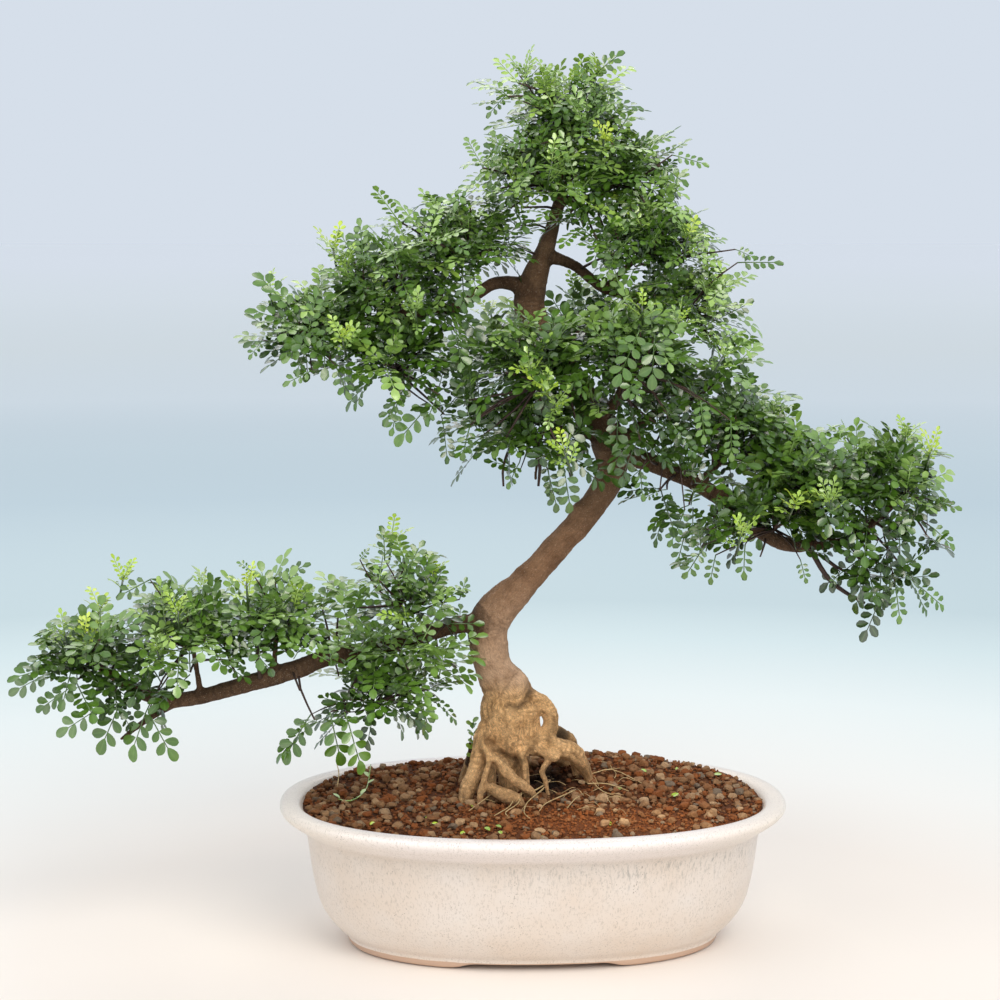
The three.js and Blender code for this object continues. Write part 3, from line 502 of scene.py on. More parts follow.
# Tips of the bright new shoots
YOUNG_SPRIGS = [
    (-314, -34, 304), (-221, -60, 302), (-110, -13, 329), (-75, -13, 304), (-103, -60, 271),
    (-344, -70, 266), (-290, -80, 254), (-271, -75, 284), (-156, -12, 555), (-204, -12, 525),
    (-145, -40, 544), (13, -50, 619), (-11, 0, 687), (10, -10, 682), (28, -20, 678), (53, 0, 688),
    (-11, -105, 463), (4, -108, 447), (11, -108, 434), (76, -80, 512), (110, -70, 500), (145, -60, 473),
    (118, -30, 563), (195, -90, 362), (155, -85, 343), (219, -85, 365), (288, -35, 413), (308, -35, 398),
    (188, -30, 427), (52, -40, 634), (-148, -75, 486), (-92, -70, 508), (-181, -40, 285),
    (-360, -58, 262), (14, -110, 406), (-120, 60, 540), (40, 122, 520), (-30, 112, 500), (190, 50, 410),
    (250, 45, 400), (-260, 48, 285), (-340, 30, 270), (60, 60, 660),
]
BASE_SHOOT = [(-46, 19, 150), (-45, 19, 159), (-47, 19, 168)]

# Leaflet outlines: share of the length and of the half width at each row from foot to tip
LEAFLET_ROWS = [(0, 0), (0.34, 0.82), (0.72, 0.98), (0.96, 0.48)]
SMALL_LEAFLET_ROWS = [(0, 0), (0.52, 0.96), (0.94, 0.6)]
LARGE_LEAFLET_ROWS = [
    (0, 0), (0.14, 0.42), (0.32, 0.76), (0.54, 0.98), (0.74, 0.94), (0.89, 0.7), (0.97, 0.36),
]
LEAFLET_THICKNESS = 0.35
LEAFLET_FOLD = 0.1
LEAFLET_CURL = 0.06
TIP_ROUNDING = 0.06
SPIRAL = math.pi * (3 - math.sqrt(5))
# Places along X between which every leaf of a shoot must end, and how far such a leaf reaches
LEAVES_FROM = -397
LEAVES_TO = 337
LEAF_REACH = 42
# Stretches of branch that show between the leaves: from and to along X, and from and to in height
WINDOWS = [(-240, -190, 197, 227), (-200, -150, 210, 241), (158, 212, 304, 330), (84, 112, 362, 388)]


# Helpers for meshes

def vectors(stations):
    return [Vector(station) for station in stations]


def smooth_path(stations, steps):
    """A smooth curve through stations of x, y, z and radius, with this many steps between neighbours."""
    known = vectors(stations)
    known = [2 * known[0] - known[1], *known, 2 * known[-1] - known[-2]]
    path = []
    for a, b, c, d in zip(known, known[1:], known[2:], known[3:]):
        for k in range(steps):
            t = k / steps
            path.append(
                b + 0.5 * t * (c - a) + t * t * (a - 2.5 * b + 2 * c - 0.5 * d)
                + t ** 3 * (1.5 * b - 0.5 * a - 1.5 * c + 0.5 * d)
            )
    return [*path, known[-2]]


def limb(bm, path, sides, flatness=1.0):
    """A closed bar of changing radius along a path, made by extruding one ring of edges from end to end."""
    made = bmesh.ops.create_circle(bm, segments=sides, radius=1)["verts"]
    first = list({edge for vert in made for edge in vert.link_edges})
    everything = list(made)
    ring, edges = made, first
    before = Matrix.Identity(4)
    side = Vector((0.35, 1, 0.12))
    for i, station in enumerate(path):
        ahead = path[min(i + 1, len(path) - 1)].xyz - path[max(i - 1, 0)].xyz
        ahead.normalize()
        side = (side - ahead * side.dot(ahead)).normalized()
        across = ahead.cross(side)
        turn = Matrix((side, across, ahead)).transposed().to_4x4()
        radius = station[3]
        now = Matrix.Translation(station.xyz) @ turn @ Matrix.Diagonal((radius, radius * flatness, 1, 1))
        if i:
            grown = bmesh.ops.extrude_edge_only(bm, edges=edges)["geom"]
            ring = [part for part in grown if isinstance(part, bmesh.types.BMVert)]
            edges = [part for part in grown if isinstance(part, bmesh.types.BMEdge)]
            everything += ring
        bmesh.ops.transform(bm, matrix=now @ before.inverted(), verts=ring)
        before = now
    bmesh.ops.edgeloop_fill(bm, edges=first)
    bmesh.ops.edgeloop_fill(bm, edges=edges)
    faces = list({face for vert in everything for face in vert.link_faces})
    bmesh.ops.recalc_face_normals(bm, faces=faces)
    return everything


def to_mesh(bm, name):
    mesh = bpy.data.meshes.new(name)
    bm.to_mesh(mesh)
    bm.free()
    return mesh


def add_piece(name, mesh, materials, slot, nodes=(), smooth=True):
    """A mesh in pot millimetres becomes a piece in metres on the part, in place of these nodes."""
    mesh.transform(Matrix.Translation(POT_CENTRE) @ Matrix.Scale(MM, 4))
    mesh.materials.clear()
    for material in materials:
        mesh.materials.append(material)
    mesh.polygons.foreach_set("use_smooth", [smooth] * len(mesh.polygons))
    piece = bpy.data.objects.new(name, mesh)
    bpy.context.collection.objects.link(piece)
    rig.ride(piece, "root")
    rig.slot(piece, slot)
    if nodes:
        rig.replaces(piece, *nodes)
    return piece


def append(bm, template, matrix, tone):
    """Adds a copy of a template mesh to a bmesh, placed by a matrix, with its tone shifted."""
    copy = template.copy()
    copy.transform(matrix)
    layer = copy.attributes["tone"].data
    values = np.empty(len(layer), dtype=np.float32)
    layer.foreach_get("value", values)
    layer.foreach_set("value", values + tone)
    bm.from_mesh(copy)
    bpy.data.meshes.remove(copy)


def stands(forward, up):
    """The turn that points +X forward with +Z as near to up as it can be."""
    x = forward.normalized()
    y = up.cross(x).normalized()
    return Matrix((x, y, x.cross(y))).transposed().to_4x4()


# Helpers for materials

def new_material(name):
    material = bpy.data.materials.new(name)
    material.use_nodes = True
    tree = material.node_tree
    return material, tree, tree.nodes["Principled BSDF"]


def add_node(tree, kind, inputs=(), **settings):
    """A shader node with its settings, and with its inputs given as values or as sockets to link."""
    node = tree.nodes.new("ShaderNode" + kind)
    for name, value in settings.items():
        setattr(node, name, value)
    for socket, value in dict(inputs).items():
        if isinstance(value, bpy.types.NodeSocket):
            tree.links.new(value, node.inputs[socket])
        else:
            node.inputs[socket].default_value = value
    return node


def attribute(tree, name):
    return add_node(tree, "Attribute", attribute_name=name)


def place(tree, scale=(1, 1, 1)):
    """The surface's own place, in metres, stretched by a scale."""
    where = add_node(tree, "TexCoord").outputs["Object"]
    return add_node(tree, "Mapping", {"Vector": where, "Scale": scale}).outputs["Vector"]


def grain_noise(tree, where, scale, detail=4, roughness=0.6):
    inputs = {"Vector": where, "Scale": scale, "Detail": detail, "Roughness": roughness}
    return add_node(tree, "TexNoise", inputs).outputs["Fac"]


def ramp(tree, factor, stops):
    """A colour or grey value that follows a factor through stops of place and colour."""
    node = add_node(tree, "ValToRGB", {"Fac": factor})
    band = node.color_ramp
    while len(band.elements) < len(stops):
        band.elements.new(0.5)
    for element, (where, colour) in zip(band.elements, stops):
        element.position = where
        element.color = (*colour, 1) if isinstance(colour, tuple) else (colour, colour, colour, 1)
    return node.outputs["Color"]


def blend(tree, factor, under, over, kind="MIX"):
    node = add_node(tree, "Mix", data_type="RGBA", blend_type=kind)
    for socket, value in ((node.inputs[0], factor), (node.inputs[6], under), (node.inputs[7], over)):
        if isinstance(value, bpy.types.NodeSocket):
            tree.links.new(value, socket)
        else:
            socket.default_value = (*value, 1) if isinstance(value, tuple) else value
    return node.outputs[2]


def maths(tree, operation, a, b=0.0, clamp=False):
    node = add_node(tree, "Math", operation=operation, use_clamp=clamp)
    for socket, value in zip(node.inputs, (a, b)):
        if isinstance(value, bpy.types.NodeSocket):
            tree.links.new(value, socket)
        else:
            socket.default_value = value
    return node.outputs[0]


def height_between(tree, low, high):
    """0 below and 1 above a band of heights over the pot's foot, in millimetres."""
    where = add_node(tree, "SeparateXYZ", {"Vector": add_node(tree, "TexCoord").outputs["Object"]})
    inputs = {
        "Value": where.outputs["Z"],
        "From Min": POT_CENTRE.z + low * MM,
        "From Max": POT_CENTRE.z + high * MM,
    }
    return add_node(tree, "MapRange", inputs, interpolation_type="SMOOTHSTEP").outputs["Result"]


def bump(tree, shader, height, strength, distance):
    inputs = {"Height": height, "Strength": strength, "Distance": distance}
    tree.links.new(add_node(tree, "Bump", inputs).outputs["Normal"], shader.inputs["Normal"])


# Materials

def glaze_material(settings):
    material, tree, shader = new_material("cream glaze")
    where = place(tree)
    body = blend(tree, ramp(tree, grain_noise(tree, where, 14), [(0.35, 0), (0.7, 1)]),
                 tuple(settings.glaze), tuple(settings.glaze_warm))
    lip = height_between(tree, 91, 97)
    across = add_node(tree, "SeparateXYZ", {"Vector": where}).outputs["X"]
    outwards = maths(tree, "ABSOLUTE", maths(tree, "SUBTRACT", across, POT_CENTRE.x))
    ends = maths(tree, "MULTIPLY", outwards, 5)
    ends = ramp(tree, ends, [(0.5, (1.0, 1.0, 1.0)), (0.92, (0.95, 0.94, 0.87))])
    body = blend(tree, lip, body, blend(tree, 1.0, tuple(settings.lip), ends, "MULTIPLY"))
    streaks = grain_noise(tree, place(tree, (1, 1, 0.2)), 420, 5, 0.75)
    streaks = ramp(tree, streaks, [(0.52, 0), (0.66, 1)])
    patch = ramp(tree, grain_noise(tree, where, 9, 2), [(0.36, 0.1), (0.6, 1)])
    inputs = {"Value": across, "From Min": POT_CENTRE.x - 0.09, "From Max": POT_CENTRE.x + 0.07}
    sided = add_node(tree, "MapRange", inputs).outputs["Result"]
    under_lip = maths(tree, "SUBTRACT", height_between(tree, 60, 84), height_between(tree, 88, 95), True)
    streaks = maths(tree, "MULTIPLY", maths(tree, "MULTIPLY", streaks, patch), under_lip)
    sided = maths(tree, "ADD", maths(tree, "MULTIPLY", sided, 0.6), 0.25)
    streaks = maths(tree, "MULTIPLY", streaks, sided)
    body = blend(tree, streaks, body, tuple(settings.streak))
    flecks = grain_noise(tree, place(tree, (1, 1, 0.45)), 760, 3, 0.7)
    flecks = ramp(tree, flecks, [(0.53, 0), (0.66, 0.46)])
    body = blend(tree, flecks, body, tuple(settings.fleck))
    cells = add_node(tree, "TexVoronoi", {"Vector": where, "Scale": 430}, feature="F1")
    speck_size = ramp(tree, grain_noise(tree, where, 60, 2), [(0.4, 0.02), (0.75, 0.22)])
    speck = maths(tree, "LESS_THAN", cells.outputs["Distance"], speck_size)
    body = blend(tree, maths(tree, "MULTIPLY", speck, 0.55), body, tuple(settings.speck))
    foot = maths(tree, "SUBTRACT", 1.0, height_between(tree, 3, 8))
    ragged = maths(tree, "ADD", foot, maths(tree, "MULTIPLY", grain_noise(tree, where, 90), 0.4))
    bare = ramp(tree, ragged, [(0.6, 0), (0.75, 1)])
    body = blend(tree, bare, body, tuple(settings.bare_clay))
    # Painted light: the glaze is painted brighter towards the foot, as if lit from the floor below, and duller higher
    # up
    painted_shading = ramp(tree, height_between(tree, 8, 62), [(0, (1.0, 1.0, 1.0)), (1, (0.91, 0.91, 0.92))])
    body = blend(tree, 1.0, body, painted_shading, "MULTIPLY")
    tree.links.new(body, shader.inputs["Base Color"])
    tree.links.new(ramp(tree, bare, [(0, 0.3), (1, 0.75)]), shader.inputs["Roughness"])
    shader.inputs["Specular IOR Level"].default_value = 0.5
    bump(tree, shader, grain_noise(tree, where, 120, 5), 0.12, 0.002)
    return material


def soil_material(settings):
    """Crumbs and pebbles: the tone of each grain picks its colour, and a noise mottles it."""
    material, tree, shader = new_material("granular soil")
    tone = attribute(tree, "tone").outputs["Fac"]
    where = place(tree)
    colour = ramp(tree, tone, [
        (0.0, (0.05, 0.018, 0.007)), (0.26, tuple(settings.fines)), (0.46, (0.32, 0.128, 0.046)),
        (0.64, tuple(settings.pebble)), (0.8, (0.60, 0.375, 0.20)), (0.9, (0.36, 0.245, 0.15)),
        (1.0, (0.17, 0.13, 0.095)),
    ])
    # Painted shadow: the soil is darkened to nearly black about the roots' middle, with a noisy edge
    foot = (POT_CENTRE.x + ROOT_SHADOW["x"] * MM, POT_CENTRE.y + ROOT_SHADOW["y"] * MM, POT_CENTRE.z + SOIL_EDGE * MM)
    away = add_node(tree, "VectorMath", {0: where, 1: foot}, operation="DISTANCE").outputs["Value"]
    away = maths(tree, "DIVIDE", away, ROOT_SHADOW["reach"] * MM)
    patchy = maths(tree, "ADD", away, maths(tree, "MULTIPLY", grain_noise(tree, where, 35, 2), 0.7))
    colour = blend(tree, 1.0, colour, ramp(tree, patchy, [(0.56, 0.07), (1.04, 1.0)]), "MULTIPLY")
    # Painted shade: the soil is painted darker towards the left
    across = add_node(tree, "SeparateXYZ", {"Vector": where}).outputs["X"]
    inputs = {"Value": across, "From Min": POT_CENTRE.x - 0.15, "From Max": POT_CENTRE.x + 0.02}
    painted_shading = add_node(tree, "MapRange", inputs).outputs["Result"]
    painted_shading = ramp(tree, painted_shading, [(0, (0.70, 0.66, 0.61)), (1, (0.92, 0.90, 0.89))])
    colour = blend(tree, 1.0, colour, painted_shading, "MULTIPLY")
    stretched = place(tree, (1, FINES["stretch"], 0))
    middle = (POT_CENTRE.x + FINES["x"] * MM, (POT_CENTRE.y + FINES["y"] * MM) * FINES["stretch"], 0)
    beside = add_node(tree, "VectorMath", {0: stretched, 1: middle}, operation="DISTANCE").outputs["Value"]
    beside = maths(tree, "DIVIDE", beside, FINES["fade"] * MM)
    fall = ramp(tree, beside, [(0.25, (1.12, 1.10, 1.03)), (1.0, (0.79, 0.82, 0.86))])
    colour = blend(tree, 1.0, colour, fall, "MULTIPLY")
    mottle = ramp(tree, grain_noise(tree, where, 420, 5, 0.75), [(0.3, 0.6), (0.7, 1.25)])
    tree.links.new(blend(tree, 1.0, colour, mottle, "MULTIPLY"), shader.inputs["Base Color"])
    shader.inputs["Roughness"].default_value = 0.95
    shader.inputs["Specular IOR Level"].default_value = 0.25
    bump(tree, shader, grain_noise(tree, where, 900, 4), 0.5, 0.0006)
    return material


def bark_material(settings):
    """Tan fibrous roots, a greyish trunk and darker, redder branches, by the wood's own attributes."""
    material, tree, shader = new_material("bark")
    where = place(tree)
    grain = attribute(tree, "grain").outputs["Vector"]
    root = attribute(tree, "root").outputs["Fac"]
    slim = attribute(tree, "slim").outputs["Fac"]
    shade_and_moss = attribute(tree, "shade_and_moss").outputs["Fac"]
    patches = grain_noise(tree, where, 70, 6, 0.7)
    colour = blend(tree, height_between(tree, 205, 300), tuple(settings.bark), tuple(settings.bark_aged))
    # Painted shade: the trunk is painted darker higher up, inside the crown that shades it
    colour = blend(tree, height_between(tree, 300, 388), colour, tuple(settings.bark_in_crown_shade))
    low_root = ramp(tree, height_between(tree, 112, 165), [(0, (0.80, 0.80, 0.82)), (1, (1.0, 1.0, 1.0))])
    colour = blend(tree, root, colour, blend(tree, 1.0, tuple(settings.root), low_root, "MULTIPLY"))
    colour = blend(tree, slim, colour, tuple(settings.branch))
    patchy = ramp(tree, patches, [
        (0.3, (0.60, 0.54, 0.46)), (0.5, (1.0, 1.0, 1.0)), (0.7, (1.32, 1.36, 1.42)),
    ])
    colour = blend(tree, 1.0, colour, patchy, "MULTIPLY")
    fibres = grain_noise(tree, grain, 1.0, 5, 0.7)
    dark_fibres = ramp(tree, fibres, [(0.35, 0.6), (0.56, 1.22)])
    fibrous = blend(tree, 1.0, colour, dark_fibres, "MULTIPLY")
    wrinkles = grain_noise(tree, grain, 3.2, 4, 0.7)
    fine_fibres = ramp(tree, wrinkles, [(0.38, 0.76), (0.6, 1.18)])
    fibrous = blend(tree, 1.0, fibrous, fine_fibres, "MULTIPLY")
    colour = blend(tree, ramp(tree, root, [(0.0, 0.4), (1.0, 1.0)]), colour, fibrous)
    pores = ramp(tree, grain_noise(tree, where, 850, 3, 0.6), [(0.34, 0.84), (0.5, 1.0), (0.74, 1.12)])
    colour = blend(tree, 1.0, colour, pores, "MULTIPLY")
    specks = ramp(tree, grain_noise(tree, where, 1100, 2), [(0.62, 0.0), (0.7, 0.35)])
    colour = blend(tree, specks, colour, (0.66, 0.52, 0.40))
    # Painted shade in the bark's recesses, creases, scar and dents, and the dark of moss, darken the wood
    shade_and_moss_darkening = ramp(tree, shade_and_moss, [(0.0, 1.0), (1.0, 0.12)])
    colour = blend(tree, 1.0, colour, shade_and_moss_darkening, "MULTIPLY")
    tree.links.new(colour, shader.inputs["Base Color"])
    shader.inputs["Roughness"].default_value = 0.82
    shader.inputs["Specular IOR Level"].default_value = 0.3
    relief = maths(tree, "ADD", maths(tree, "ADD", fibres, wrinkles), grain_noise(tree, where, 700, 4))
    bump(tree, shader, relief, 0.85, 0.0014)
    return material


def twig_material(settings):
    material, tree, shader = new_material("thin twigs")
    mottle = grain_noise(tree, place(tree), 260, 4)
    colour = ramp(tree, mottle, [(0.3, (0.022, 0.010, 0.008)), (0.6, tuple(settings.twig)),
                                 (0.85, (0.13, 0.075, 0.045))])
    tree.links.new(colour, shader.inputs["Base Color"])
    shader.inputs["Roughness"].default_value = 0.7
    bump(tree, shader, mottle, 0.3, 0.0006)
    return material


def leaf_materials(settings):
    """The glossy face and the paler underside of the leaflets, from dark tones, for old leaves and painted shade, to
    bright young tones.
    """
    made = []
    for name, fade, gloss in (("leaf face", 0.0, 0.3), ("leaf underside", 0.4, 0.6)):
        material, tree, shader = new_material(name)
        where = place(tree)
        tone = attribute(tree, "tone").outputs["Fac"]
        rib = attribute(tree, "rib").outputs["Fac"]
        drift = maths(tree, "SUBTRACT", grain_noise(tree, where, 160, 3), 0.5)
        tone = maths(tree, "ADD", tone, maths(tree, "MULTIPLY", drift, 0.22))
        colour = ramp(tree, tone, [
            (0.0, tuple(settings.old_and_shaded_leaf)), (0.34, tuple(settings.leaf)),
            (0.58, tuple(settings.fresh_leaf)), (0.86, tuple(settings.young_leaf)),
            (1.0, tuple(settings.youngest_leaf)),
        ])
        vein = maths(tree, "MULTIPLY", maths(tree, "POWER", rib, 8.0), 0.2)
        colour = blend(tree, vein, colour, tuple(settings.vein))
        colour = blend(tree, fade, colour, tuple(settings.underside))
        blotch = ramp(tree, grain_noise(tree, where, 75, 2), [(0.7, 0), (0.78, 1)])
        worn = maths(tree, "MULTIPLY", blotch, ramp(tree, rib, [(0.0, 0.55), (0.5, 0)]))
        colour = blend(tree, worn, colour, tuple(settings.worn_edge))
        tree.links.new(colour, shader.inputs["Base Color"])
        shader.inputs["Roughness"].default_value = gloss
        shader.inputs["Specular IOR Level"].default_value = 0.8
        shader.inputs["Coat Weight"].default_value = 0.55
        shader.inputs["Coat Roughness"].default_value = 0.14
        relief = maths(tree, "ADD", maths(tree, "MULTIPLY", rib, -0.5), grain_noise(tree, where, 500, 2))
        bump(tree, shader, relief, 0.25, 0.0005)
        made.append(material)
    return made


def plain_material(name, dark, light, scale, roughness):
    """A matt finish that wavers between two colours."""
    material, tree, shader = new_material(name)
    mottle = grain_noise(tree, place(tree), scale, 4)
    tree.links.new(ramp(tree, mottle, [(0.35, dark), (0.7, light)]), shader.inputs["Base Color"])
    shader.inputs["Roughness"].default_value = roughness
    bump(tree, shader, mottle, 0.3, 0.0005)
    return material


# Shapes of the pot and the soil

def smoothstep(value, low, high):
    t = min(1, max(0, (value - low) / (high - low)))
    return t * t * (3 - 2 * t)


def half_depth(half_width):
    if half_width <= WIDE_FROM:
        return half_width * NARROW_DEPTH_RATIO
    return half_width - WIDE_DEPTH_STEP + LIP_DEPTH_GAIN * smoothstep(half_width, WIDE_FROM, 200)


def press_oval(verts):
    """Presses a turned shape into the pot's oval."""
    for vert in verts:
        reach = math.hypot(vert.co.x, vert.co.y)
        if reach < 1e-4:
            continue
        for axis, half in ((0, reach), (1, half_depth(reach))):
            share = vert.co[axis] / reach
            vert.co[axis] = half * math.copysign(abs(share) ** (2 / OVAL_POWER), share)


def turned(profile, turns):
    """A closed profile from axis to axis, turned round Z and pressed into the oval."""
    bm = bmesh.new()
    verts = [bm.verts.new((reach, 0, height)) for reach, height in profile]
    edges = [bm.edges.new(pair) for pair in zip(verts, verts[1:])]
    bmesh.ops.spin(bm, geom=verts + edges, cent=(0, 0, 0), axis=(0, 0, 1), angle=2 * math.pi, steps=turns,
                   use_merge=True)
    bmesh.ops.remove_doubles(bm, verts=bm.verts, dist=1e-3)
    bmesh.ops.recalc_face_normals(bm, faces=bm.faces)
    press_oval(bm.verts)
    return bm


def soil_height(x, y):
    dome = max(0, 1 - (x / RIM_INSIDE) ** 2 - (y / half_depth(RIM_INSIDE)) ** 2)
    across = (x - SOIL_HEAP["x"]) / SOIL_HEAP["reach_x"]
    along = (y - SOIL_HEAP["y"]) / SOIL_HEAP["reach_y"]
    heap = SOIL_HEAP["height"] * math.exp(-across ** 2 - along ** 2)
    return SOIL_EDGE + SOIL_BACK_RISE * smoothstep(y, 0, SOIL_BACK_TO) + SOIL_DOME * dome + heap


def in_pot(x, y, margin):
    """True where a place lies inside the pot's mouth, this far from its wall."""
    wide = RIM_INSIDE - margin
    deep = half_depth(RIM_INSIDE) - margin
    return abs(x / wide) ** OVAL_POWER + abs(y / deep) ** OVAL_POWER < 1


def fine_share(x, y):
    """1 where the surface is red fines, and 0 where it is pebbles."""
    across = (x - FINES["x"]) / FINES["reach_x"]
    along = (y - FINES["y"]) / FINES["reach_y"]
    return math.exp(-across ** 2 - along ** 2)


def grain_templates(rng, count, points):
    """Angular grains of radius 1, each the hull of a few points on a squashed ball."""
    made = []
    for _ in range(count):
        bm = bmesh.new()
        bm.verts.layers.float.new("tone")
        bmesh.ops.create_icosphere(bm, subdivisions=2, radius=1)
        squash = Vector((1, rng.uniform(0.62, 0.95), rng.uniform(0.5, 0.8)))
        kept = rng.sample(bm.verts[:], points)
        bmesh.ops.delete(bm, geom=[vert for vert in bm.verts if vert not in kept], context="VERTS")
        for vert in bm.verts:
            vert.co = vert.co * rng.uniform(0.8, 1.08) * squash
        hull = bmesh.ops.convex_hull(bm, input=bm.verts)
        loose = [vert for vert in hull["geom_interior"] if vert.is_valid]
        bmesh.ops.delete(bm, geom=loose, context="VERTS")
        bmesh.ops.recalc_face_normals(bm, faces=bm.faces)
        made.append(to_mesh(bm, "grain"))
    return made


def scatter_grains(rng, templates, count, sizes, likely, tones):
    """Grains strewn over the soil, more or fewer of them among the fines."""
    bm = bmesh.new()
    bm.verts.layers.float.new("tone")
    low, high = sizes
    deep = half_depth(RIM_INSIDE)
    while count:
        x, y = rng.uniform(-RIM_INSIDE, RIM_INSIDE), rng.uniform(-deep, deep)
        size = low * (high / low) ** rng.random() ** 1.4
        if not in_pot(x, y, size + 0.5) or rng.random() > likely[0] + likely[1] * fine_share(x, y):
            continue
        count -= 1
        spot = Vector((x, y, soil_height(x, y) + size * rng.uniform(0.05, 0.6)))
        turn = Matrix.Rotation(rng.uniform(-0.5, 0.5), 4, "X")
        turn = turn @ Matrix.Rotation(rng.uniform(0, FULL_TURN), 4, "Z")
        tone = rng.choice(tones)
        # Low tones are darker away from the fines, as painted shade in the gaps between the pebbles, and a little
        # brighter among the red fines
        if tone < 0.5:
            tone *= 0.62 + 0.42 * fine_share(x, y)
        append(bm, rng.choice(templates), Matrix.Translation(spot) @ turn @ Matrix.Scale(size, 4), tone)
    return to_mesh(bm, "grains")


# Shapes of the leaves

def leaflet(length, width, outline=LEAFLET_ROWS):
    """One thin obovate leaflet along +X, folded along its rib, with its underside as material 1."""
    bm = bmesh.new()
    rib = bm.verts.layers.float.new("rib")
    bm.verts.layers.float.new("tone")
    rows = len(outline) - 1
    bmesh.ops.create_grid(bm, x_segments=rows, y_segments=2, size=0.5)
    for vert in bm.verts:
        row = round((vert.co.x + 0.5) * rows)
        side = round(vert.co.y * 2)
        far, wide = outline[row]
        rounding = TIP_ROUNDING if row == rows and side == 0 else 0
        vert[rib] = 1 - abs(side)
        vert.co = Vector((
            (far + rounding) * length,
            side * wide * width / 2,
            LEAFLET_FOLD * abs(side) * wide * width - LEAFLET_CURL * length * far * far,
        ))
    bmesh.ops.remove_doubles(bm, verts=bm.verts, dist=1e-4)
    under = bmesh.ops.duplicate(bm, geom=bm.verts[:] + bm.edges[:] + bm.faces[:])["geom"]
    for part in under:
        if isinstance(part, bmesh.types.BMFace):
            part.normal_flip()
            part.material_index = 1
        elif isinstance(part, bmesh.types.BMVert) and abs(part.co.y) < 1e-4 and 0 < part.co.x < 0.9 * length:
            part.co.z -= LEAFLET_THICKNESS
    bmesh.ops.remove_doubles(bm, verts=bm.verts, dist=1e-4)
    for edge in bm.edges:
        edge.smooth = len({face.material_index for face in edge.link_faces}) == 1
    return to_mesh(bm, "leaflet")


def compound_leaf(rng, leaflets, pairs, droop, pitch, stalk, size):
    """A leaf along +X and its length and droop: pairs of leaflets on a slim stalk, arching down."""
    bm = new_foliage()
    end = stalk + (pairs - 0.35) * pitch
    rachis = [Vector((0, 0, 0, 0.62)), Vector((stalk, 0, 0, 0.6)), Vector((end, 0, 0, 0.42))]
    limb(bm, rachis, 3, 0.7)
    for face in bm.faces:
        face.material_index = 2
    for along, side in [(stalk + k * pitch, side) for k in range(pairs) for side in (-1, 1)]:
        share = along / end
        angle = side * math.radians(rng.uniform(58, 74) - 14 * share)
        grow = size * (0.76 + 0.3 * share) * rng.uniform(0.9, 1.08)
        turn = Matrix.Rotation(angle, 4, "Z") @ Matrix.Rotation(rng.uniform(-0.25, 0.15), 4, "Y")
        turn = turn @ Matrix.Rotation(rng.uniform(-0.25, 0.25), 4, "X") @ Matrix.Scale(grow, 4)
        foot = Matrix.Translation((along + rng.uniform(-0.6, 0.6), side * 0.4, 0.1))
        append(bm, rng.choice(leaflets), foot @ turn, rng.uniform(-0.06, 0.06))
    tip = Matrix.Translation((end - 0.5, 0, 0)) @ Matrix.Rotation(rng.uniform(-0.15, 0.15), 4, "Z")
    append(bm, rng.choice(leaflets), tip @ Matrix.Scale(size * 1.12, 4), 0.03)
    length = end + 11 * size
    sway = rng.uniform(-0.12, 0.12)
    bend = droop / length
    for vert in bm.verts:
        x, y, z = vert.co
        turn = bend * max(0, x)
        vert.co = Vector((
            math.sin(turn) / bend + z * math.sin(turn) + min(0, x),
            y + sway * x * x / length,
            (math.cos(turn) - 1) / bend + z * math.cos(turn),
        ))
    return to_mesh(bm, "leaf"), length, droop


class LeafStore:
    """Templates of the leaves, made once: mature, small, large and young ones, in several droops."""

    def __init__(self, settings):
        rng = random.Random(STORE_SEED)
        size = settings.leaflet_size
        mature = [leaflet(9.3, 6.0), leaflet(9, 5.9), leaflet(9.8, 6.2)]
        narrow = [leaflet(7.6, 4.8, SMALL_LEAFLET_ROWS), leaflet(7, 4.5, SMALL_LEAFLET_ROWS)]
        large = [leaflet(11.4, 7.1, LARGE_LEAFLET_ROWS), leaflet(10.8, 6.9, LARGE_LEAFLET_ROWS)]
        young = [leaflet(5.2, 3.3, SMALL_LEAFLET_ROWS), leaflet(4.8, 3.1, SMALL_LEAFLET_ROWS)]
        self.mature = [compound_leaf(rng, mature, pairs, droop, 6.9, 7, size)
                       for pairs in (3, 4, 4, 5) for droop in (0.2, 0.45, 0.75, 1.1)]
        self.small = [compound_leaf(rng, narrow, pairs, droop, 5.4, 5, size)
                      for pairs in (3, 4, 6) for droop in (0.2, 0.6, 1.1)]
        self.large = [compound_leaf(rng, large, pairs, 0.35, 8.6, 7, size) for pairs in (2, 3, 3, 4)]
        self.round = [(leaflet(6.6, 5), 6.6, 0.1), (leaflet(5.6, 4.6), 5.6, 0.1)]
        self.young = [compound_leaf(rng, young, pairs, droop, 3.7, 3, 1)
                      for pairs in (3, 4) for droop in (0.2, 0.6, 1.0)]


def new_foliage():
    bm = bmesh.new()
    bm.verts.layers.float.new("rib")
    bm.verts.layers.float.new("tone")
    return bm


def hides_branch(spot):
    """True for a place in front of a stretch of branch that shows between the leaves."""
    return spot.y < -10 and any(a < spot.x < b and low < spot.z < high for a, b, low, high in WINDOWS)


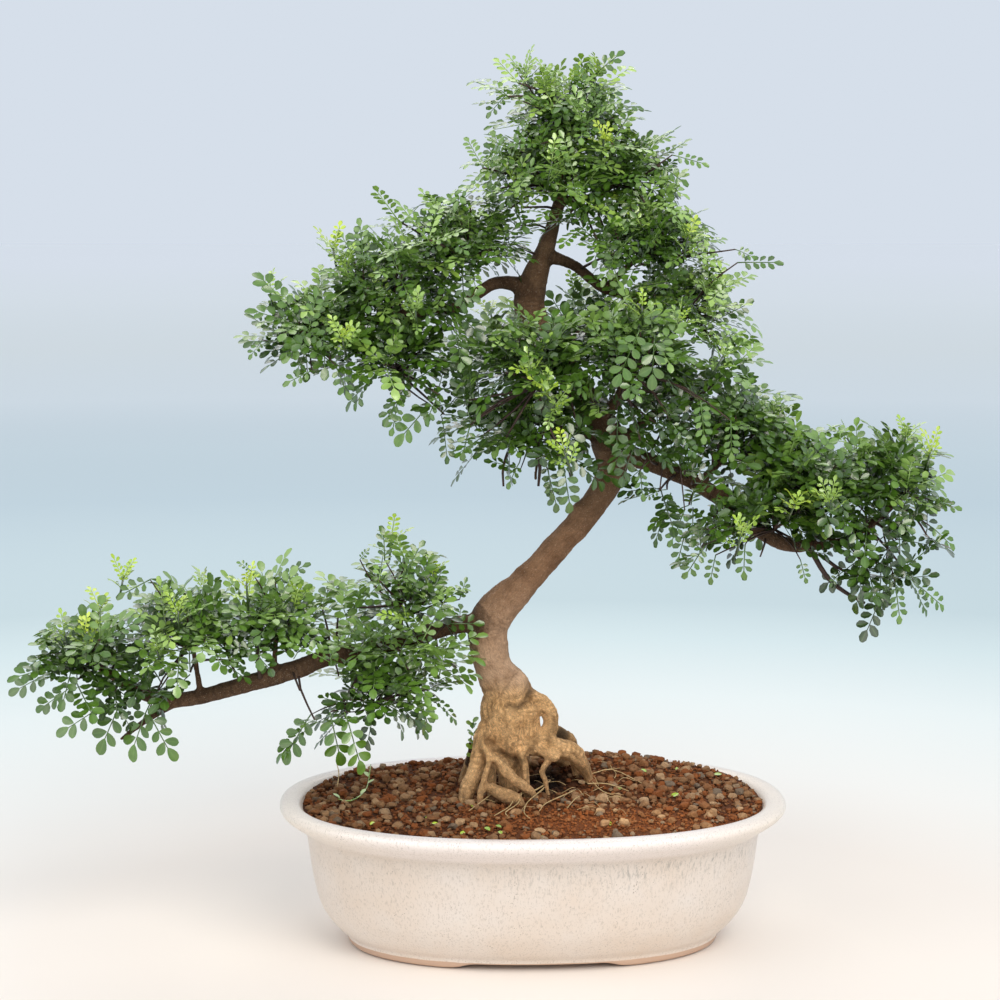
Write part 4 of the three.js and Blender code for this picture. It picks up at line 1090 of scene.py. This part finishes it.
def rosette(rng, bm, templates, tip, axis, out, count, tone, spread, size=1.0):
    """Leaves on a golden-angle spiral about the axis of a shoot, with their faces turned outwards."""
    start = rng.uniform(0, FULL_TURN)
    side = axis.orthogonal().normalized()
    for k in range(count):
        around = Matrix.Rotation(start + k * SPIRAL, 3, axis) @ side
        lean = rng.uniform(*spread) * (0.7 + 0.5 * k / count)
        heading = axis * math.cos(lean) + around * math.sin(lean)
        heading.z += 0.12
        reach = heading * LEAF_REACH * size
        if not LEAVES_FROM < tip.x + reach.x < LEAVES_TO:
            continue
        if any(hides_branch(tip + reach * share) for share in (0.35, 0.65, 1)):
            continue
        up = Vector((0, -0.3, 1)) + out * rng.uniform(0.05, 0.7)
        up += Vector([rng.uniform(-0.22, 0.22) for _ in range(3)])
        foot = tip - axis * (k * 1.6) + around * 0.6
        grow = Matrix.Scale(size * rng.uniform(0.82, 1.1), 4)
        matrix = Matrix.Translation(foot) @ stands(heading, up) @ grow
        append(bm, rng.choice(templates)[0], matrix, tone + 0.07 - 0.03 * k + rng.uniform(-0.07, 0.07))


def lone_leaf(rng, bm, templates, foot, tip, tone):
    """One leaf that spans from its foot to its tip with its face to the front and the sky."""
    chord = tip - foot
    template, length, droop = min(
        templates, key=lambda item: abs(item[1] - chord.length) + rng.uniform(0, 5)
    )
    scale = chord.length / (length * 2 * math.sin(droop / 2) / droop)
    up = Vector((rng.uniform(-0.3, 0.3), -0.8, 0.6))
    turn = stands(chord, up) @ Matrix.Rotation(-droop / 2, 4, "Y")
    append(bm, template, Matrix.Translation(foot) @ turn @ Matrix.Scale(scale, 4), tone)


def wood_tree():
    """Finds the nearest place on the middle line of the trunk, branches and twigs."""
    wood = [station for stations in (TRUNK, *BRANCHES, *TWIGS) for station in smooth_path(stations, 4)]
    wood = [station for station in wood if station.z > ROOT_TOP]
    tree = KDTree(len(wood))
    for i, station in enumerate(wood):
        tree.insert(station.xyz, i)
    tree.balance()
    return tree


def thin_twig(rng, bm, foot, tip, thick, thin):
    """A thin, slightly crooked twig."""
    reach = (tip - foot).length
    if reach < 4:
        return
    crook = Vector((rng.uniform(-1, 1), rng.uniform(-1, 1), rng.uniform(-0.4, 1))) * reach * 0.1
    middle = foot.lerp(tip, 0.5) + crook
    stations = [(*foot, thick), (*middle, (thick + thin) / 2), (*tip, thin)]
    limb(bm, smooth_path(stations, 2), 4)


def pad_shoots(rng, pad, shoots, stretch):
    """Tips and outward directions of the shoots that make up a pad, evenly spread but for its underside."""
    centre, reach = Vector(pad[:3]), Vector(pad[3:])
    made = []
    for k in range(shoots):
        height = 1 - 1.6 * (k + 0.5) / shoots
        flat = math.sqrt(1 - height * height)
        turn = k * SPIRAL + rng.uniform(-0.25, 0.25)
        way = Vector((flat * math.cos(turn), flat * math.sin(turn), height))
        made.append((centre + way * rng.uniform(0.34, 0.62) * stretch * reach, way))
    return made


# Settings of the parts

class BonsaiPotSettings(PropertyGroup):
    glaze: FloatVectorProperty(name="Glaze", description="Cream of the glazed body", subtype="COLOR",
                               default=(0.77, 0.695, 0.625))
    glaze_warm: FloatVectorProperty(name="Warm glaze", description="Warmer cloudy patches", subtype="COLOR",
                                    default=(0.735, 0.62, 0.515))
    lip: FloatVectorProperty(name="Lip", description="Pinkish cream of the lip", subtype="COLOR",
                             default=(0.93, 0.84, 0.785))
    streak: FloatVectorProperty(name="Streaks", description="Grey streaks under the lip", subtype="COLOR",
                                default=(0.30, 0.28, 0.25))
    fleck: FloatVectorProperty(name="Flecks", description="Fine grey-brown flecks all over", subtype="COLOR",
                               default=(0.40, 0.34, 0.28))
    speck: FloatVectorProperty(name="Specks", description="Dark specks in the glaze", subtype="COLOR",
                               default=(0.12, 0.08, 0.05))
    bare_clay: FloatVectorProperty(name="Bare clay", description="Unglazed foot edge", subtype="COLOR",
                                   default=(0.58, 0.40, 0.29))


class BonsaiSoilSettings(PropertyGroup):
    fines: FloatVectorProperty(name="Fines", description="Red-brown crumbs", subtype="COLOR",
                               default=(0.35, 0.110, 0.030))
    pebble: FloatVectorProperty(name="Pebbles", description="Light brown pebbles", subtype="COLOR",
                                default=(0.33, 0.165, 0.072))
    crumbs: IntProperty(name="Crumbs", description="Number of fine crumbs", default=6000, min=0, max=20000)
    grit: IntProperty(name="Grit", description="Number of middling grains", default=2300, min=0, max=10000)
    stones: IntProperty(name="Stones", description="Number of pebbles", default=800, min=0, max=5000)


class BonsaiWoodSettings(PropertyGroup):
    bark: FloatVectorProperty(name="Bark", description="Pinkish bark of the lower trunk", subtype="COLOR",
                              default=(0.53, 0.335, 0.205))
    bark_aged: FloatVectorProperty(name="Aged bark", description="Browner bark of the middle trunk",
                                   subtype="COLOR", default=(0.235, 0.123, 0.062))
    # Painted shade of the crown on the upper trunk
    bark_in_crown_shade: FloatVectorProperty(name="Crown bark", description="Dark bark inside the crown",
                                    subtype="COLOR", default=(0.165, 0.092, 0.048))
    root: FloatVectorProperty(name="Root", description="Tan of the roots", subtype="COLOR",
                              default=(0.73, 0.43, 0.192))
    branch: FloatVectorProperty(name="Branch", description="Darker brown of the slim branches",
                                subtype="COLOR", default=(0.105, 0.056, 0.028))
    twig: FloatVectorProperty(name="Twig", description="Dark red-brown of the thin twigs", subtype="COLOR",
                              default=(0.06, 0.03, 0.02))


class BonsaiLeafSettings(PropertyGroup):
    # The darkest leaf colour, for old leaves and for painted shade
    old_and_shaded_leaf: FloatVectorProperty(name="Old leaf", description="Darkest leaves", subtype="COLOR",
                                  default=(0.017, 0.044, 0.003))
    leaf: FloatVectorProperty(name="Leaf", description="Mature leaves", subtype="COLOR",
                              default=(0.076, 0.170, 0.011))
    fresh_leaf: FloatVectorProperty(name="Fresh leaf", description="Younger leaves", subtype="COLOR",
                                    default=(0.25, 0.40, 0.085))
    young_leaf: FloatVectorProperty(name="Young leaf", description="Bright new leaves", subtype="COLOR",
                                    default=(0.37, 0.54, 0.045))
    youngest_leaf: FloatVectorProperty(name="Youngest leaf", description="Yellowish tips", subtype="COLOR",
                                       default=(0.53, 0.65, 0.055))
    vein: FloatVectorProperty(name="Vein", description="Pale middle rib", subtype="COLOR",
                              default=(0.22, 0.38, 0.08))
    underside: FloatVectorProperty(name="Underside", description="Pale green of the undersides",
                                   subtype="COLOR", default=(0.23, 0.34, 0.12))
    worn_edge: FloatVectorProperty(name="Worn edge", description="Yellow-brown leaf edges", subtype="COLOR",
                                   default=(0.30, 0.22, 0.06))
    leaflet_size: FloatProperty(name="Leaflet size", description="Scale of the leaflets", default=1.0,
                                min=0.5, max=1.5)
    shoots_per_pad: IntProperty(name="Shoots", description="Shoots in a pad of middle size", default=17,
                                min=3, max=40)
    leaves_per_shoot: IntProperty(name="Leaves", description="Leaves on each shoot", default=6,
                                  min=2, max=12)


# Operators

class BONSAI_OT_pot(Operator):
    """Turns the glazed pot and gives the drain screens their plastic"""

    bl_idname = "bonsai.pot"
    bl_label = "Glazed Pot"

    def execute(self, context):
        bm = turned(POT_PROFILE, POT_TURNS)
        for vert in bm.verts:
            gap = 1 - smoothstep(abs(vert.co.x), FOOT_GAP_HALF - FOOT_GAP_SLOPE, FOOT_GAP_HALF)
            if vert.co.z < FOOT_GAP_HEIGHT:
                vert.co.z += (FOOT_GAP_HEIGHT - vert.co.z) * gap
        mesh = to_mesh(bm, "glazed_pot")
        material = glaze_material(context.scene.bonsai_pot)
        piece = add_piece("glazed_pot", mesh, [material], "glaze", ["pot"])
        finer = piece.modifiers.new("rounding", "SUBSURF")
        finer.levels = 1
        finer.render_levels = 1
        plastic = plain_material("screen plastic", (0.02, 0.02, 0.02), (0.05, 0.05, 0.05), 300, 0.6)
        for node in ("drain_screen_left", "drain_screen_right"):
            for slot in frame["nodes"][node].material_slots:
                slot.material = plastic
        return {"FINISHED"}


class BONSAI_OT_soil(Operator):
    """Heaps the soil in the pot and strews crumbs and pebbles over it"""

    bl_idname = "bonsai.soil"
    bl_label = "Granular Soil"

    def execute(self, context):
        settings = context.scene.bonsai_soil
        rng = random.Random(SOIL_SEED)
        material = soil_material(settings)
        top = [(RIM_INSIDE * k / SOIL_RINGS, SOIL_EDGE) for k in range(SOIL_RINGS + 1)]
        bm = turned([(0, SOIL_BOTTOM), *SOIL_WALL, *reversed(top)], POT_TURNS)
        tone = bm.verts.layers.float.new("tone")
        for vert in bm.verts:
            if vert.co.z > SOIL_EDGE - 1:
                x, y, _ = vert.co
                ripple = noise.noise(Vector((x, y, 0)) / 7) + 0.5 * noise.noise(Vector((x, y, 9)) / 3)
                vert.co.z = soil_height(x, y) - 0.8 + 0.9 * ripple
            # Painted shade: the bed between the grains takes a dark tone for the gaps, a little lighter among the
            # fines
            vert[tone] = 0.08 + 0.05 * fine_share(vert.co.x, vert.co.y)
        add_piece("soil_bed", to_mesh(bm, "soil_bed"), [material], "soil", ["soil"])
        crumbs = grain_templates(rng, 8, 8)
        grit = grain_templates(rng, 10, 13)
        stones = grain_templates(rng, 14, 24)
        counts = (settings.crumbs, settings.grit, settings.stones)
        kinds = zip(GRAINS, (crumbs, grit, stones), counts)
        for (name, sizes, likely, tones), templates, count in kinds:
            mesh = scatter_grains(rng, templates, count, sizes, likely, tones)
            add_piece(name, mesh, [material], "soil", smooth=False)
        large = bmesh.new()
        large.verts.layers.float.new("tone")
        for x, y, size, tone in LARGE_STONES:
            spot = Matrix.Translation((x, y, soil_height(x, y) + size * 0.45))
            turn = Matrix.Rotation(rng.uniform(0, FULL_TURN), 4, "Z") @ Matrix.Scale(size, 4)
            append(large, rng.choice(stones), spot @ turn, tone)
        add_piece("large_stones", to_mesh(large, "large_stones"), [material], "soil", smooth=False)
        return {"FINISHED"}


class BONSAI_OT_scraps(Operator):
    """Lays dead rootlets, fallen leaflets and a thin weed on the soil"""

    bl_idname = "bonsai.scraps"
    bl_label = "Rootlets and Scraps"

    def execute(self, context):
        rng = random.Random(SCRAPS_SEED)
        bm = bmesh.new()
        for path in ROOTLETS:
            stations = []
            for x, y, lift, radius in path:
                stations.append((x, y, soil_height(x, y) + lift, radius))
            limb(bm, smooth_path(stations, 3), 5)
        for _ in range(HAIR_ROOTS):
            x = HAIR_GROUND["x"] + HAIR_GROUND["reach_x"] * rng.uniform(-1, 1)
            y = HAIR_GROUND["y"] + HAIR_GROUND["reach_y"] * rng.uniform(-1, 1)
            heading, stations = rng.uniform(0, FULL_TURN), []
            for step in range(4):
                lift = rng.uniform(2.2, 4.4) if 0 < step < 3 else 1.6
                stations.append((x, y, soil_height(x, y) + lift, 0.3 - 0.04 * step))
                heading += rng.uniform(-0.7, 0.7)
                x += 5.5 * math.cos(heading)
                y += 5.5 * math.sin(heading)
            limb(bm, smooth_path(stations, 2), 4)
        dry = plain_material("dry rootlets", (0.42, 0.27, 0.11), (0.66, 0.50, 0.26), 300, 0.8)
        add_piece("dry_rootlets", to_mesh(bm, "dry_rootlets"), [dry], "bark")
        bm = new_foliage()
        fallen = leaflet(7, 4.2)
        for x, y, tone in FALLEN_LEAFLETS:
            tilt = Matrix.Rotation(rng.uniform(0.2, 0.7), 4, "X")
            tilt = tilt @ Matrix.Rotation(rng.uniform(0, FULL_TURN), 4, "Z")
            spot = Matrix.Translation((x, y, soil_height(x, y) + 2.4))
            append(bm, fallen, spot @ tilt @ Matrix.Scale(rng.uniform(0.7, 1.1), 4), tone)
        path = [(x, y, soil_height(x, y) + lift, radius) for x, y, lift, radius in WEED]
        marked = len(bm.faces)
        tones = bm.verts.layers.float["tone"]
        for vert in limb(bm, smooth_path(path, 3), 4):
            vert[tones] = 0.6
        bm.faces.ensure_lookup_table()
        for face in bm.faces[marked:]:
            face.material_index = 1
        for x, y, lift, turn in WEED_LEAFLETS:
            spot = Matrix.Translation((x, y, soil_height(x, y) + lift)) @ Matrix.Rotation(turn, 4, "Z")
            append(bm, fallen, spot @ Matrix.Rotation(-0.5, 4, "Y"), 0.62)
        face, underside = leaf_materials(context.scene.bonsai_leaf)
        add_piece("fallen_leaflets", to_mesh(bm, "fallen_leaflets"), [face, underside], "leaf")
        return {"FINISHED"}


class BONSAI_OT_wood(Operator):
    """Grows roots, trunk and branches into one body with bark relief"""

    bl_idname = "bonsai.wood"
    bl_label = "Trunk, Roots and Branches"

    def execute(self, context):
        settings = context.scene.bonsai_wood
        limbs = [smooth_path(stations, 4) for stations in (TRUNK, *ROOTS, *BRANCHES, *TWIGS)]
        bm = bmesh.new()
        for path in limbs:
            limb(bm, path, LIMB_SIDES)
        rough = bpy.data.objects.new("rough_wood", to_mesh(bm, "rough_wood"))
        context.collection.objects.link(rough)
        remesh = rough.modifiers.new("one body", "REMESH")
        remesh.mode = "VOXEL"
        remesh.voxel_size = WOOD_VOXEL
        soften = rough.modifiers.new("soft joins", "SMOOTH")
        soften.factor = 0.5
        soften.iterations = 3
        depsgraph = context.evaluated_depsgraph_get()
        mesh = bpy.data.meshes.new_from_object(rough.evaluated_get(depsgraph))
        bpy.data.objects.remove(rough)
        self.carve(mesh, limbs)
        add_piece("bare_wood", mesh, [bark_material(settings)], "bark", ["trunk_and_roots"])
        return {"FINISHED"}

    def carve(self, mesh, limbs):
        """Bark relief along the grain, knots and dents, and the attributes that the colours follow."""
        samples = []
        for number, path in enumerate(limbs):
            along = 0
            for k, station in enumerate(path):
                behind = path[max(k - 1, 0)].xyz
                along += (station.xyz - behind).length
                ahead = (path[min(k + 1, len(path) - 1)].xyz - behind).normalized()
                samples.append((station.xyz, station[3], along + 300 * number, ahead, number > len(ROOTS)))
        tree = KDTree(len(samples))
        for i, sample in enumerate(samples):
            tree.insert(sample[0], i)
        tree.balance()
        creases = []
        for depth, reach, line in CREASES:
            path = smooth_path([(x, 0, z, 0) for x, z in line], 5)
            creases.append((depth, reach, [(station.x, station.z) for station in path]))
        count = len(mesh.vertices)
        places = np.empty(count * 3, dtype=np.float32)
        normals = np.empty(count * 3, dtype=np.float32)
        mesh.vertices.foreach_get("co", places)
        mesh.vertices.foreach_get("normal", normals)
        grain = np.empty((count, 3), dtype=np.float32)
        root, slim, shade_and_moss = (np.zeros(count, dtype=np.float32) for _ in range(3))
        moved = places.reshape(-1, 3).copy()
        for i, (place_now, normal) in enumerate(zip(places.reshape(-1, 3), normals.reshape(-1, 3))):
            spot, out = Vector(place_now), Vector(normal)
            _, nearest, _ = tree.find(spot)
            centre, radius, along, ahead, on_branch = samples[nearest]
            arm = spot - centre
            arm -= ahead * arm.dot(ahead)
            down = along + (spot - centre).dot(ahead)
            grain[i] = arm * 0.6 + ahead * (down * 0.12)
            below = 0 if on_branch else 1 - smoothstep(spot.z, ROOT_TOP - 14, ROOT_TOP + 8)
            root[i] = below
            slim[i] = 1 - smoothstep(radius, 7, 10.5) if on_branch else 0
            fibre = noise.noise(Vector((arm.x * 0.42, arm.y * 0.42, down * 0.045)))
            lumps = noise.noise(spot / 13)
            small = noise.noise(spot / 4) + 0.5 * noise.noise(spot / 2.2)
            thick = min(1, radius / 9)
            relief = below * (1.3 * fibre + 1.4 * lumps + 0.8 * small) * thick
            relief += (1 - below) * (0.6 * fibre + 0.9 * lumps + 0.4 * small) * thick
            for knot, reach, height in KNOTS:
                gap = (spot - Vector(knot)).length / reach
                if gap < 2:
                    relief += height * math.exp(-gap * gap)
            # Painted shade: the recesses between the root fibres are darkened
            shade_and_moss[i] = below * smoothstep(-fibre - 0.3 * lumps, 0.12, 0.6) * 0.4
            if out.y < 0 and spot.z < 210 and spot.y < 12:
                for depth, reach, line in creases:
                    gap = min(math.hypot(spot.x - x, spot.z - z) for x, z in line) / reach
                    if gap < 2:
                        fold = math.exp(-gap * gap)
                        relief -= depth * fold
                        # Painted shade in the crease
                        shade_and_moss[i] = max(shade_and_moss[i], 0.3 * depth * fold)
            # Painted shade and moss: spots that darken the wood
            for dark, reach in MOSS_AND_SHADE_SPOTS:
                gap = (spot - Vector(dark)).length / reach
                shade_and_moss[i] = max(shade_and_moss[i], math.exp(-gap ** 4))
            moved[i] = place_now + np.array(out * relief)
        mesh.vertices.foreach_set("co", moved.ravel())
        mesh.attributes.new("grain", "FLOAT_VECTOR", "POINT").data.foreach_set("vector", grain.ravel())
        for name, values in (("root", root), ("slim", slim), ("shade_and_moss", shade_and_moss)):
            mesh.attributes.new(name, "FLOAT", "POINT").data.foreach_set("value", values)
        mesh.update()


class BONSAI_OT_foliage(Operator):
    """Fills every spray with twigs and rosettes of compound leaves"""

    bl_idname = "bonsai.foliage"
    bl_label = "Leafy Sprays"

    def execute(self, context):
        settings = context.scene.bonsai_leaf
        store = LeafStore(settings)
        face, underside = leaf_materials(settings)
        materials = [face, underside, underside]
        tree = wood_tree()
        rng = random.Random(FOLIAGE_SEED)
        twigs = bmesh.new()
        for name, pads in SPRAYS.items():
            bm = new_foliage()
            hubs = []
            shoots = []
            for pad in pads:
                size = (pad[3] * pad[4] * pad[5]) ** (1 / 3)
                hub = Vector(pad[:3]) - Vector((0, 0, 0.35 * pad[5]))
                hubs.append(hub)
                thin_twig(rng, twigs, tree.find(hub)[0], hub, 2.2, 1.5)
                crown = smoothstep(pad[2], 430, 560)
                low = 1 - smoothstep(pad[2], 265, 320)
                count = round(settings.shoots_per_pad * (size / 52) ** 2 * (1 + 0.5 * crown - 0.1 * low))
                made = pad_shoots(rng, pad, count, 1 + 0.16 * crown - 0.07 * low)
                shoots += [(tip, way, hub, settings.leaves_per_shoot) for tip, way in made]
                # Painted shade: leaves inside the pad take the darkest tone, for the shade there
                for _ in range(count // 3):
                    way = Vector([rng.uniform(-1, 1) for _ in range(3)]).normalized()
                    inside = Vector(pad[:3]) + way * rng.uniform(0.05, 0.3) * Vector(pad[3:])
                    inner = store.small if crown > 0.5 else store.mature
                    rosette(rng, bm, inner, inside, Vector((0, 0, 1)), way, 5, 0.02, (0.9, 1.6))
            for place in EXTRA_SHOOTS.get(name, ()):
                tip = Vector(place)
                hub = min(hubs, key=lambda centre: (centre - tip).length)
                shoots.append((tip, (tip - hub).normalized(), hub, 4))
            for tip, way, hub, leaves in shoots:
                foot = min((hub, tree.find(tip)[0]), key=lambda start: (start - tip).length)
                thin_twig(rng, twigs, foot, tip, 1.2, 0.7)
                axis = (way + Vector((0, 0, 0.8))).normalized()
                small = 0.2 + 0.8 * smoothstep(tip.z, 430, 550)
                templates = store.small if rng.random() < small else store.mature
                # Painted light and shade: shoots that point up take brighter tones and those that point down darker
                # ones; in the crown the tones are raised and more leaves are fresh, partly young growth and partly
                # painted highlight
                fresh_and_lit = 0.28 if rng.random() < 0.06 + 0.15 * small else 0
                tone = 0.24 + 0.24 * way.z + rng.uniform(-0.13, 0.13) + fresh_and_lit + 0.06 * small
                rosette(rng, bm, templates, tip, axis, way, leaves, min(tone, 0.6), (0.75, 1.5))
            for foot, tip in LONE_LEAVES.get(name, ()):
                foot, tip = Vector(foot), Vector(tip)
                templates = store.large if (tip - foot).length > 38 and tip.z < foot.z else store.small
                lone_leaf(rng, bm, templates, foot, tip, rng.uniform(0.2, 0.38))
                hub = min(hubs, key=lambda centre: (centre - foot).length)
                thin_twig(rng, twigs, hub, foot, 1, 0.5)
            add_piece("leaves" + name[5:], to_mesh(bm, name), materials, "leaf", [name])
        for path in BARE_TWIGS:
            limb(twigs, smooth_path(path, 3), 6)
        stem = twig_material(context.scene.bonsai_wood)
        add_piece("thin_twigs", to_mesh(twigs, "thin_twigs"), [stem], "bark")
        self.sprigs(rng, store, tree, materials)
        return {"FINISHED"}

    def sprigs(self, rng, store, tree, materials):
        """Bright upright new shoots, and the small shoot at the trunk's foot."""
        bm = new_foliage()
        for place in YOUNG_SPRIGS:
            tip = Vector(place)
            out = (tip - tree.find(tip)[0]).normalized()
            flat = rng.choice((0.3, 0.9, 1.5))
            axis = (Vector((0, 0, 1)) + out * flat + Vector((rng.uniform(-0.4, 0.4), -0.1, 0))).normalized()
            foot = tip - axis * rng.uniform(24, 34)
            top = tip - axis * 9
            marked = len(bm.faces)
            limb(bm, [Vector((*foot, 1)), Vector((*foot.lerp(top, 0.5), 0.9)), Vector((*top, 0.7))], 5)
            bm.faces.ensure_lookup_table()
            for face in bm.faces[marked:]:
                face.material_index = 3
            tone = rng.uniform(0.58, 0.92)
            rosette(rng, bm, store.young, top, axis, out, 4, tone, (0.3, 0.95))
            rosette(rng, bm, store.young, foot.lerp(top, 0.45), axis, out, 2, tone - 0.15, (0.8, 1.3))
        for k, place in enumerate(BASE_SHOOT):
            up, front = Vector((0, 0, 1)), Vector((0, -1, 0))
            rosette(rng, bm, store.round, Vector(place), up, front, 6, 0.8 - 0.2 * k, (0.9, 1.4))
        nodes = ["shoot_at_base", *(f"young_shoot_{k}" for k in range(1, 6))]
        shoot = plain_material("young stem", (0.26, 0.24, 0.03), (0.38, 0.40, 0.07), 200, 0.5)
        add_piece("young_sprigs", to_mesh(bm, "young_sprigs"), [*materials, shoot], "young_leaf", nodes)


class BONSAI_OT_stage(Operator):
    """Sets the floor, the soft lights, the pale surroundings and the photograph's camera"""

    bl_idname = "bonsai.stage"
    bl_label = "Stage"

    def execute(self, context):
        scene = context.scene
        scene.view_settings.view_transform = "Standard"
        self.floor(context)
        self.lights(context)
        data = bpy.data.cameras.new("photograph")
        data.sensor_width = SENSOR
        data.lens = SENSOR * FOCAL_PIXELS / FRAME_PIXELS
        camera = bpy.data.objects.new("photograph", data)
        context.collection.objects.link(camera)
        camera.location = POT_CENTRE + CAMERA_PLACE * MM
        camera.rotation_mode = "QUATERNION"
        camera.rotation_quaternion = (CAMERA_AIM - CAMERA_PLACE).to_track_quat("-Z", "Y")
        scene.camera = camera
        return {"FINISHED"}

    def floor(self, context):
        bm = bmesh.new()
        bmesh.ops.create_circle(bm, cap_ends=True, segments=96, radius=30)
        bmesh.ops.translate(bm, verts=bm.verts, vec=(POT_CENTRE.x, POT_CENTRE.y, POT_LOW.z - 0.0005))
        mesh = to_mesh(bm, "floor")
        material, tree, shader = new_material("pale floor")
        where = add_node(tree, "TexCoord").outputs["Object"]
        away = add_node(tree, "VectorMath", {0: where, 1: POT_CENTRE}, operation="DISTANCE").outputs["Value"]
        far = maths(tree, "DIVIDE", away, FLOOR_FADE, True)
        tree.links.new(ramp(tree, far, FLOOR_COLOURS), shader.inputs["Base Color"])
        shader.inputs["Roughness"].default_value = 0.9
        shader.inputs["Specular IOR Level"].default_value = 0.1
        mesh.materials.append(material)
        floor = bpy.data.objects.new("floor", mesh)
        context.collection.objects.link(floor)
        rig.stage(floor)

    def lights(self, context):
        world = bpy.data.worlds.new("pale surroundings")
        world.use_nodes = True
        tree = world.node_tree
        back = tree.nodes["Background"]
        back.inputs["Color"].default_value = (*SURROUNDINGS, 1)
        back.inputs["Strength"].default_value = 1
        context.scene.world = world
        for name, spot, size, power in LIGHTS:
            spot = Vector(spot)
            data = bpy.data.lights.new(name, "AREA")
            data.size = size
            data.energy = power
            data.color = LIGHT_COLOUR
            light = bpy.data.objects.new(name, data)
            context.collection.objects.link(light)
            light.location = POT_CENTRE + spot
            light.rotation_mode = "QUATERNION"
            light.rotation_quaternion = (Vector(LIGHT_AIM) - spot).to_track_quat("-Z", "Y")


class BONSAI_PT_panel(Panel):
    """Lists the settings and the steps that dress the bonsai"""

    bl_label = "Bonsai"
    bl_idname = "BONSAI_PT_panel"
    bl_space_type = "VIEW_3D"
    bl_region_type = "UI"
    bl_category = "Bonsai"

    def draw(self, context):
        for settings, steps in STEPS:
            box = self.layout.box()
            for step in steps:
                box.operator(step.bl_idname)
            group = getattr(context.scene, settings, None)
            for name in group.bl_rna.properties.keys() if group else ():
                if name not in {"rna_type", "name"}:
                    box.prop(group, name)


SETTINGS = {
    "bonsai_pot": BonsaiPotSettings,
    "bonsai_soil": BonsaiSoilSettings,
    "bonsai_wood": BonsaiWoodSettings,
    "bonsai_leaf": BonsaiLeafSettings,
}
# The stage has no settings, so its name finds none
STEPS = [
    ("bonsai_stage", [BONSAI_OT_stage]),
    ("bonsai_pot", [BONSAI_OT_pot]),
    ("bonsai_soil", [BONSAI_OT_soil, BONSAI_OT_scraps]),
    ("bonsai_wood", [BONSAI_OT_wood]),
    ("bonsai_leaf", [BONSAI_OT_foliage]),
]
CLASSES = [*SETTINGS.values(), *(step for _, steps in STEPS for step in steps), BONSAI_PT_panel]


def register():
    for item in CLASSES:
        bpy.utils.register_class(item)
    for name, group in SETTINGS.items():
        setattr(bpy.types.Scene, name, PointerProperty(type=group))


def unregister():
    for name in SETTINGS:
        delattr(bpy.types.Scene, name)
    for item in reversed(CLASSES):
        bpy.utils.unregister_class(item)


def main():
    register()
    bpy.ops.bonsai.stage()
    bpy.ops.bonsai.pot()
    bpy.ops.bonsai.soil()
    bpy.ops.bonsai.scraps()
    bpy.ops.bonsai.wood()
    bpy.ops.bonsai.foliage()
    boxes = {"cad": CAD_BOX, "visual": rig.bounds()}
    with open("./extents.json", "w") as file:
        json.dump({name: [list(corner) for corner in box] for name, box in boxes.items()}, file)


if __name__ == "__main__":
    main()
